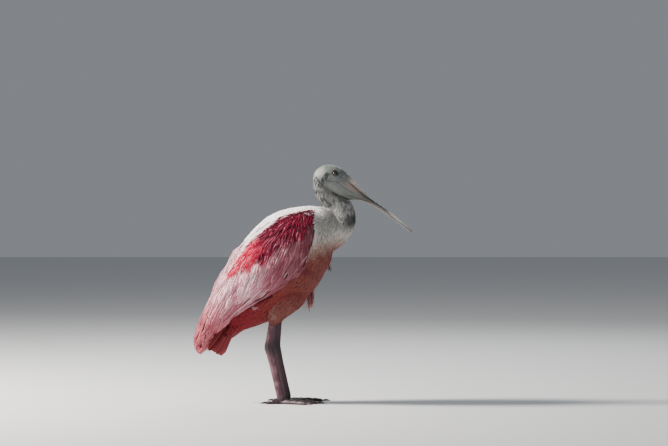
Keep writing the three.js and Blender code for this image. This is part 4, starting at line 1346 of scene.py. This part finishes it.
# The head's colours carry painted shade under the jaw and throat, and in the cheek fold and the mouth corner.
def head_color(points, wrinkle):
    y, z = points[:, 1], points[:, 2]
    ear = crease(points, EAR_LINE, 4.6) * soft(np.abs(y), 6, 12)
    feathered_edge = soft(8 * grain(points, 6, 1.0) - 1 - above_feather_line(points), -5, 8)
    color = layers(
        SKIN_GREY,
        (SKIN_PALE, np.clip(grain(points, 7) * 0.8 + 0.3 * wrinkle, 0, 1)),
        (SKIN_GREY, 0.5 * soft(z, 438, 450)),
        (SKIN_DARK, np.clip(1.5 * ear * (0.45 + grain(points, 3.2, 6.0)), 0, 0.95)),
        # painted shadow under the jaw
        (SKIN_DARK, 0.6 * crease(points, JAW, 4) * soft(np.abs(y), 2, 8)),
        (mix(NECK_GREY, NECK_DARK, 0.3), feathered_edge),
        # painted shade in the cheek fold, the mouth corner and under the throat
        (SKIN_DARK, 0.3 * crease(points, CHEEK_FOLD, 3.0)),
        (SKIN_DARK, 0.4 * crease(points, MOUTH_CORNER, 1.8)),
        (SKIN_DARK, 0.45 * crease(points, THROAT, 9)),
    )
    for side in (-1, 1):
        around = np.linalg.norm(points - (EYE_MIDDLE[side] + 4 * EYE_OUT[side]), axis=1)
        color = mix(color, SKIN_DARK, 0.75 * soft(8.5 - around, 0, 4))
    return color


def head_skin():
    mesh = rebuilt("head_skin", ["head", "neck_upper"], voxel=0.7, rounds=90)
    points = points_of(mesh)
    wrinkle = grain(points * (0.6, 1, 1.3), 2.1) - 0.5 + 0.6 * (grain(points * (1.4, 1, 0.6), 1.1, 4.0) - 0.5)
    rise = head_relief(points, wrinkle)
    sink = np.interp(above_feather_line(points), (-32, -9, 1), (3.2, 1.6, 0.1))
    points = points + normals_of(mesh) * (rise - sink)[:, None]
    move_points(mesh, points)
    paint(mesh, head_color(points, wrinkle))
    hand_in("skin_head", mesh, SKIN, "skin", "head", "neck_upper")


head_skin()

# %% [markdown]
# The bill
#
# The bill is horn, flat and narrow in the middle and widening to a round spoon. It is lofted again from the
# solid's own stations, because long even rings let the grooves run true along it. The mouth line splits
# each ring: the part above it is the upper mandible, the part below the lower one. Grooves are cut as dips
# in the rings, with a line of painted shade along them. The colours also carry painted light on the top and
# the spoon, and painted shade over the middle and under the jaw.

# %% The bill's lines
GAPE = np.array((74.0, 0.0, 421.0))
BILL_LENGTH = 165.0
BILL_PITCH = math.radians(-36)
bill_along = np.array((math.cos(BILL_PITCH), 0, math.sin(BILL_PITCH)))
bill_up = np.array((-bill_along[2], 0, bill_along[0]))
BILL = np.array(
    [
        # share of the length, how far up, half the depth, half the width
        (-0.074, -7.0, 27.4, 20.5), (0.019, -6.95, 25.2, 17.2), (0.116, -6.7, 21.5, 13.5),
        (0.21, -3.4, 15, 11.6), (0.31, -0.3, 8.3, 10.4), (0.405, 1.3, 5.4, 9.7), (0.525, 2.9, 4.5, 9.5),
        (0.66, 2.5, 4.1, 12.25),
        (0.76, 2.3, 3.9, 19.1), (0.86, 1.8, 3.6, 24.5), (0.94, 1.1, 3.2, 21.1), (1.0, 0.3, 0, 0),
    ]
)
MOUTH = np.array(
    [
        (-0.1, -5), (0.02, -5.4), (0.09, -6.2), (0.21, -4), (0.32, -1.8), (0.41, 0.6), (0.53, 2.6),
        (0.66, 2.4), (0.8, 2.1), (0.9, 1.4), (1.1, 0),
    ]
)
HORN_GREY = srgb(118, 119, 116)
HORN_PALE = srgb(158, 154, 142)
HORN_PINK = srgb(178, 146, 136)
HORN_DARK = srgb(38, 32, 32)
HORN_BEIGE = srgb(232, 216, 202)
HORN_BROWN = srgb(88, 56, 54)
GULAR = srgb(112, 122, 112)
ROWS, ARC, CHORD = 230, 40, 14  # rings along the bill, points round the outside, points along the mouth


def curve(table, at):
    """A smooth line through the rows of a table, by its first column."""
    x = table[:, 0]
    values = table[:, 1:]
    slope = np.gradient(values, x, axis=0)
    i = np.clip(np.searchsorted(x, at) - 1, 0, len(x) - 2)
    width = (x[i + 1] - x[i])[:, None]
    t = ((at - x[i])[:, None]) / width
    a, b = values[i], values[i + 1]
    return (
        a * (1 + 2 * t) * (1 - t) ** 2
        + slope[i] * width * t * (1 - t) ** 2
        + b * t * t * (3 - 2 * t)
        + slope[i + 1] * width * t * t * (t - 1)
    )


def pair(t, at, width):
    """A line on each side of the bill, where t runs round the outside from 0 to 1."""
    return bell(t, at, width) + bell(t, 1 - at, width)


# %% The mandibles' shape
def hollows(upper, s, t):
    """How deep the surface is pressed in, in millimetres, and where painted shade darkens the grooves and
    nostril.
    """
    if upper:
        groove = pair(t, 0.2, 0.035) * np.interp(s, (0.06, 0.12, 0.85, 0.95), (0, 1, 1, 0))
        nostril = bell(s, 0.125, 0.026) * pair(t, 0.27, 0.03)
        ridges = 0.035 * np.sin(s * 190) * soft(0.45 - s, 0, 0.3) * np.sin(math.pi * t) ** 2
        edge = pair(t, 0.06, 0.03) * soft(s, 0.6, 0.8)
        press = 0.5 * groove - ridges - 0.25 * edge + 1.9 * nostril
        dark = groove + nostril
    else:
        dark = pair(t, 0.16, 0.05) * soft(s, 0.02, 0.1)
        slack = soft(0.32 - s, 0, 0.2)
        press = 0.3 * dark + 0.25 * slack * np.sin(s * 260 + 3 * np.sin(9 * t))
    return press + 0.7 * soft(0.035 - s, 0, 0.05), np.clip(dark, 0, 1)


def mandible_rings(upper):
    """Points of the rings along one mandible, with their share of its length and how dark their dips are."""
    share = 1 - (1 - np.linspace(0, 1, ROWS)) ** 1.15 * 1.02
    share = np.clip(share * 0.9985, -0.02, 0.9985)
    s = share[:, None]
    squares = BILL.copy()
    squares[:, 2:] **= 2
    middle, deep, wide = curve(squares, share).T[..., None]
    deep, wide = np.sqrt(np.maximum(deep, 0.05)), np.sqrt(np.maximum(wide, 0.05))
    mouth = curve(MOUTH, share) + (0.15 if upper else -0.15)
    start = np.arcsin(np.clip((mouth - middle) / deep, -0.95, 0.95))
    t = np.linspace(0, 1, ARC)
    angle = start + (math.pi - 2 * start) * t if upper else math.pi - start + (math.pi + 2 * start) * t
    across = wide * np.cos(angle)
    rise = deep * np.sin(angle)
    press, dark = hollows(upper, s, t)
    inward = 1 - press * np.minimum(deep / 8, 1) / np.maximum(np.hypot(across, rise), 1)
    across = across * inward
    rise = middle + rise * inward
    c = np.linspace(0, 1, CHORD + 2)[1:-1]
    hollow = 0.35 * np.sin(math.pi * c) * np.minimum(deep / 5, 1) * soft(0.97 - s, 0, 0.1)
    back_across = across[:, -1:] + (across[:, :1] - across[:, -1:]) * c
    back_rise = rise[:, -1:] + (rise[:, :1] - rise[:, -1:]) * c + (hollow if upper else -hollow)
    ring_across = np.concatenate((across, back_across), axis=1)
    ring_rise = np.concatenate((rise, back_rise), axis=1)
    outer = np.multiply.outer
    points = GAPE + outer(share * BILL_LENGTH, bill_along)[:, None]
    points = points + outer(ring_across, (0, 1, 0)) + outer(ring_rise, bill_up)
    return points.reshape(-1, 3), np.tile(s, ARC + CHORD), np.pad(dark, ((0, 0), (0, CHORD)))


# %% The mandibles' colours
def mandible(upper, name, replaced):
    points, s, dark = mandible_rings(upper)

    def spotted(size, turn=0.0):
        return grain(points, size, turn).reshape(s.shape)

    t = np.tile(np.concatenate((np.linspace(0, 1, ARC), np.zeros(CHORD))), (ROWS, 1))
    streak = grain(np.stack((s.ravel() * 14, t.ravel() * 30, np.zeros(s.size)), axis=1), 1.0).reshape(s.shape)
    if upper:
        # the pale beige strip along the top: partly its own colour, partly painted light on the top
        ridge = soft(0.3 - np.abs(t - 0.5), 0, 0.06) * soft(0.5 - s, 0, 0.3)
        color = layers(
            HORN_GREY,
            # grain of the horn, and painted light: lighter towards the spoon, where the light falls on its
            # top
            (HORN_PALE, 0.35 * streak + 0.65 * soft(s, 0.5, 0.8)),
            (HORN_PINK, 0.8 * pair(t, 0.12, 0.07) * soft(0.3 - s, 0, 0.2)),
            # painted shade in the grooves and the nostril
            (HORN_BROWN, 0.6 * dark * soft(0.75 - s, 0, 0.15)),
            (HORN_BEIGE, 0.85 * ridge),
            # painted light on the spoon's top
            (HORN_BEIGE, 0.5 * soft(s, 0.58, 0.7)),
            (HORN_DARK, 0.16 * soft(spotted(6, 2.0), 0.55, 0.8) * soft(s, 0.05, 0.3)),
        )
    else:
        color = layers(
            GULAR,
            (HORN_GREY, soft(s, 0.12, 0.34)),
            (HORN_PINK, 0.5 * soft(s, 0.2, 0.4) * soft(0.75 - s, 0, 0.2)),
            # painted shade in the groove
            (HORN_DARK, 0.65 * dark),
            (HORN_DARK, 0.6 * soft(s, 0.6, 0.72)),
            # painted shade under the jaw
            (SKIN_DARK, 0.5 * crease(points, THROAT, 8).reshape(s.shape)),
        )
    face_skin = mix(SKIN_GREY, SKIN_PALE, 0.8 * spotted(7))
    top = (np.abs(t - 0.5) < 0.22) * (s < 0.4)
    color = layers(
        mix(face_skin, color, soft(s, -0.01, 0.13 if upper else 0.2)),
        # painted shade over the middle of the bill, less on its top
        (HORN_DARK, 0.6 * bell(s, 0.4, 0.17) * (1 - 0.5 * top)),
        (HORN_DARK, 0.75 * soft(s, 0.93, 0.995)),
    )
    mesh = outward_faces(mesh_of(name, points, tube_faces(ROWS, ARC + CHORD)))
    paint(mesh, color.reshape(-1, 3))
    hand_in(name, mesh, HORN, "bill", replaced)


mandible(True, "bill_horn_upper", "bill_upper")
mandible(False, "bill_horn_lower", "bill_lower")

# %% [markdown]
# The eyes
#
# A spoonbill's eye is dark red with a round black pupil, under a clear bulge. The ball is turned so that
# its pole looks out of the head, and the rings round the pole carry pupil, iris and rim.

# %% Eyeballs
EYE_RINGS, EYE_SIDES = 40, 48
PUPIL = np.array((0.004, 0.004, 0.005))
EYE_RIM = np.array((0.01, 0.008, 0.008))


def eyeball(side_name):
    side = SIDES[side_name]
    polar = np.linspace(0.02, math.pi - 0.02, EYE_RINGS)
    around = np.linspace(0, 2 * math.pi, EYE_SIDES, endpoint=False)
    polar, around = (grid.ravel() for grid in np.meshgrid(polar, around, indexing="ij"))
    radius = 4.85 + 0.3 * bell(polar, 0, 0.45)
    wide = radius * np.sin(polar)
    local = np.stack((wide * np.cos(around), wide * np.sin(around), radius * np.cos(polar)), axis=1)
    turn = np.array(Vector((0, 0, 1)).rotation_difference(Vector(EYE_OUT[side])).to_matrix())
    rays = grain(np.stack((around * 6, polar * 2, np.zeros(len(polar))), axis=1), 0.6)
    iris = mix(srgb(30, 6, 7), srgb(78, 18, 14), rays)
    name = f"eyeball_{side_name}"
    points = EYE_MIDDLE[side] + local @ turn.T
    mesh = outward_faces(mesh_of(name, points, tube_faces(EYE_RINGS, EYE_SIDES, flip=True)))
    paint(mesh, layers(PUPIL, (iris, soft(polar, 0.42, 0.48)), (EYE_RIM, soft(polar, 0.6, 0.7))))
    hand_in(name, mesh, EYE, "eye", f"eye_{side_name}")


for side_name in SIDES:
    eyeball(side_name)

# %% [markdown]
# Legs, feet and claws
#
# The bare legs are one scaled skin from the thigh to the toes: small many-sided scales all round, darker at
# the heel, with painted light on the side of each leg that faces the light: more mauve and a pale highlight.
# The scales are raised in the surface, cell by cell, and each claw is smooth dark horn.

# %% Scaled legs
LEG_BLACK = srgb(38, 27, 34)
LEG_MAUVE = srgb(126, 78, 92)
LEG_PALE = srgb(170, 124, 132)
SCALE_STRETCH = (0.36, 0.36, 0.3)
SKIN_FLOOR = 0.05  # the soles' skin stays this far above the floor


def gap_between_scales(points):
    """0 on the border between two scales, growing towards their middles."""
    nearest = [noise.voronoi(spot)[0] for spot in points * SCALE_STRETCH]
    return np.array([near[1] - near[0] for near in nearest])


def leg_skin(side_name):
    side = SIDES[side_name]
    names = [f"{part}_{side_name}" for part in ("tibia", "tarsus", "foot")]
    mesh = rebuilt(f"leg_{side_name}", names, voxel=0.6, rounds=5)
    points = points_of(mesh)
    normals = normals_of(mesh)
    plate = soft(gap_between_scales(points), 0.02, 0.22)
    above_floor = soft(points[:, 2], 0.5, 2.5)
    points = points + normals * ((0.45 + 0.42 * (plate - 0.7)) * above_floor)[:, None]
    points[:, 2] = np.maximum(points[:, 2], SKIN_FLOOR)
    z = points[:, 2]
    off_heel = 1 - bell(z, 108, 14)
    tone = grain(points, 9) * 0.6 + grain(points * (1, 1, 0.3), 4, 3.0) * 0.4
    # the side of each leg that faces the light, behind and outward
    front = soft(-normals[:, 0] * 0.5 + side * normals[:, 1] * 0.9, -0.2, 0.8)
    # some mauve all round, and more as painted light on that side
    mauve = np.clip(0.25 + 0.9 * (tone - 0.3) * front + 0.25 * front, 0, 1) * (0.15 + 0.85 * off_heel)
    color = layers(
        LEG_BLACK,
        (LEG_MAUVE, mauve),
        # painted highlight: pale on the side that faces the light
        (LEG_PALE, 0.5 * soft(tone * front, 0.4, 0.7) * off_heel),
        (LEG_BLACK, 0.7 * soft(16 - z, 0, 6)),
    )
    move_points(mesh, points)
    paint(mesh, color * (0.62 + 0.45 * plate)[:, None])
    hand_in(f"skin_leg_{side_name}", mesh, SCALES, "leg", *names)


def claws(side_name):
    names = [f"claw_{toe}_{side_name}" for toe in ("hind", "inner", "middle", "outer")]
    mesh = rebuilt(f"claws_{side_name}", names, voxel=0.4, rounds=3)
    paint(mesh, mix(srgb(30, 26, 27), srgb(78, 66, 62), 0.6 * grain(points_of(mesh), 3)))
    hand_in(f"claws_{side_name}", mesh, CLAW, "claw", *names)


for side_name in SIDES:
    leg_skin(side_name)
    claws(side_name)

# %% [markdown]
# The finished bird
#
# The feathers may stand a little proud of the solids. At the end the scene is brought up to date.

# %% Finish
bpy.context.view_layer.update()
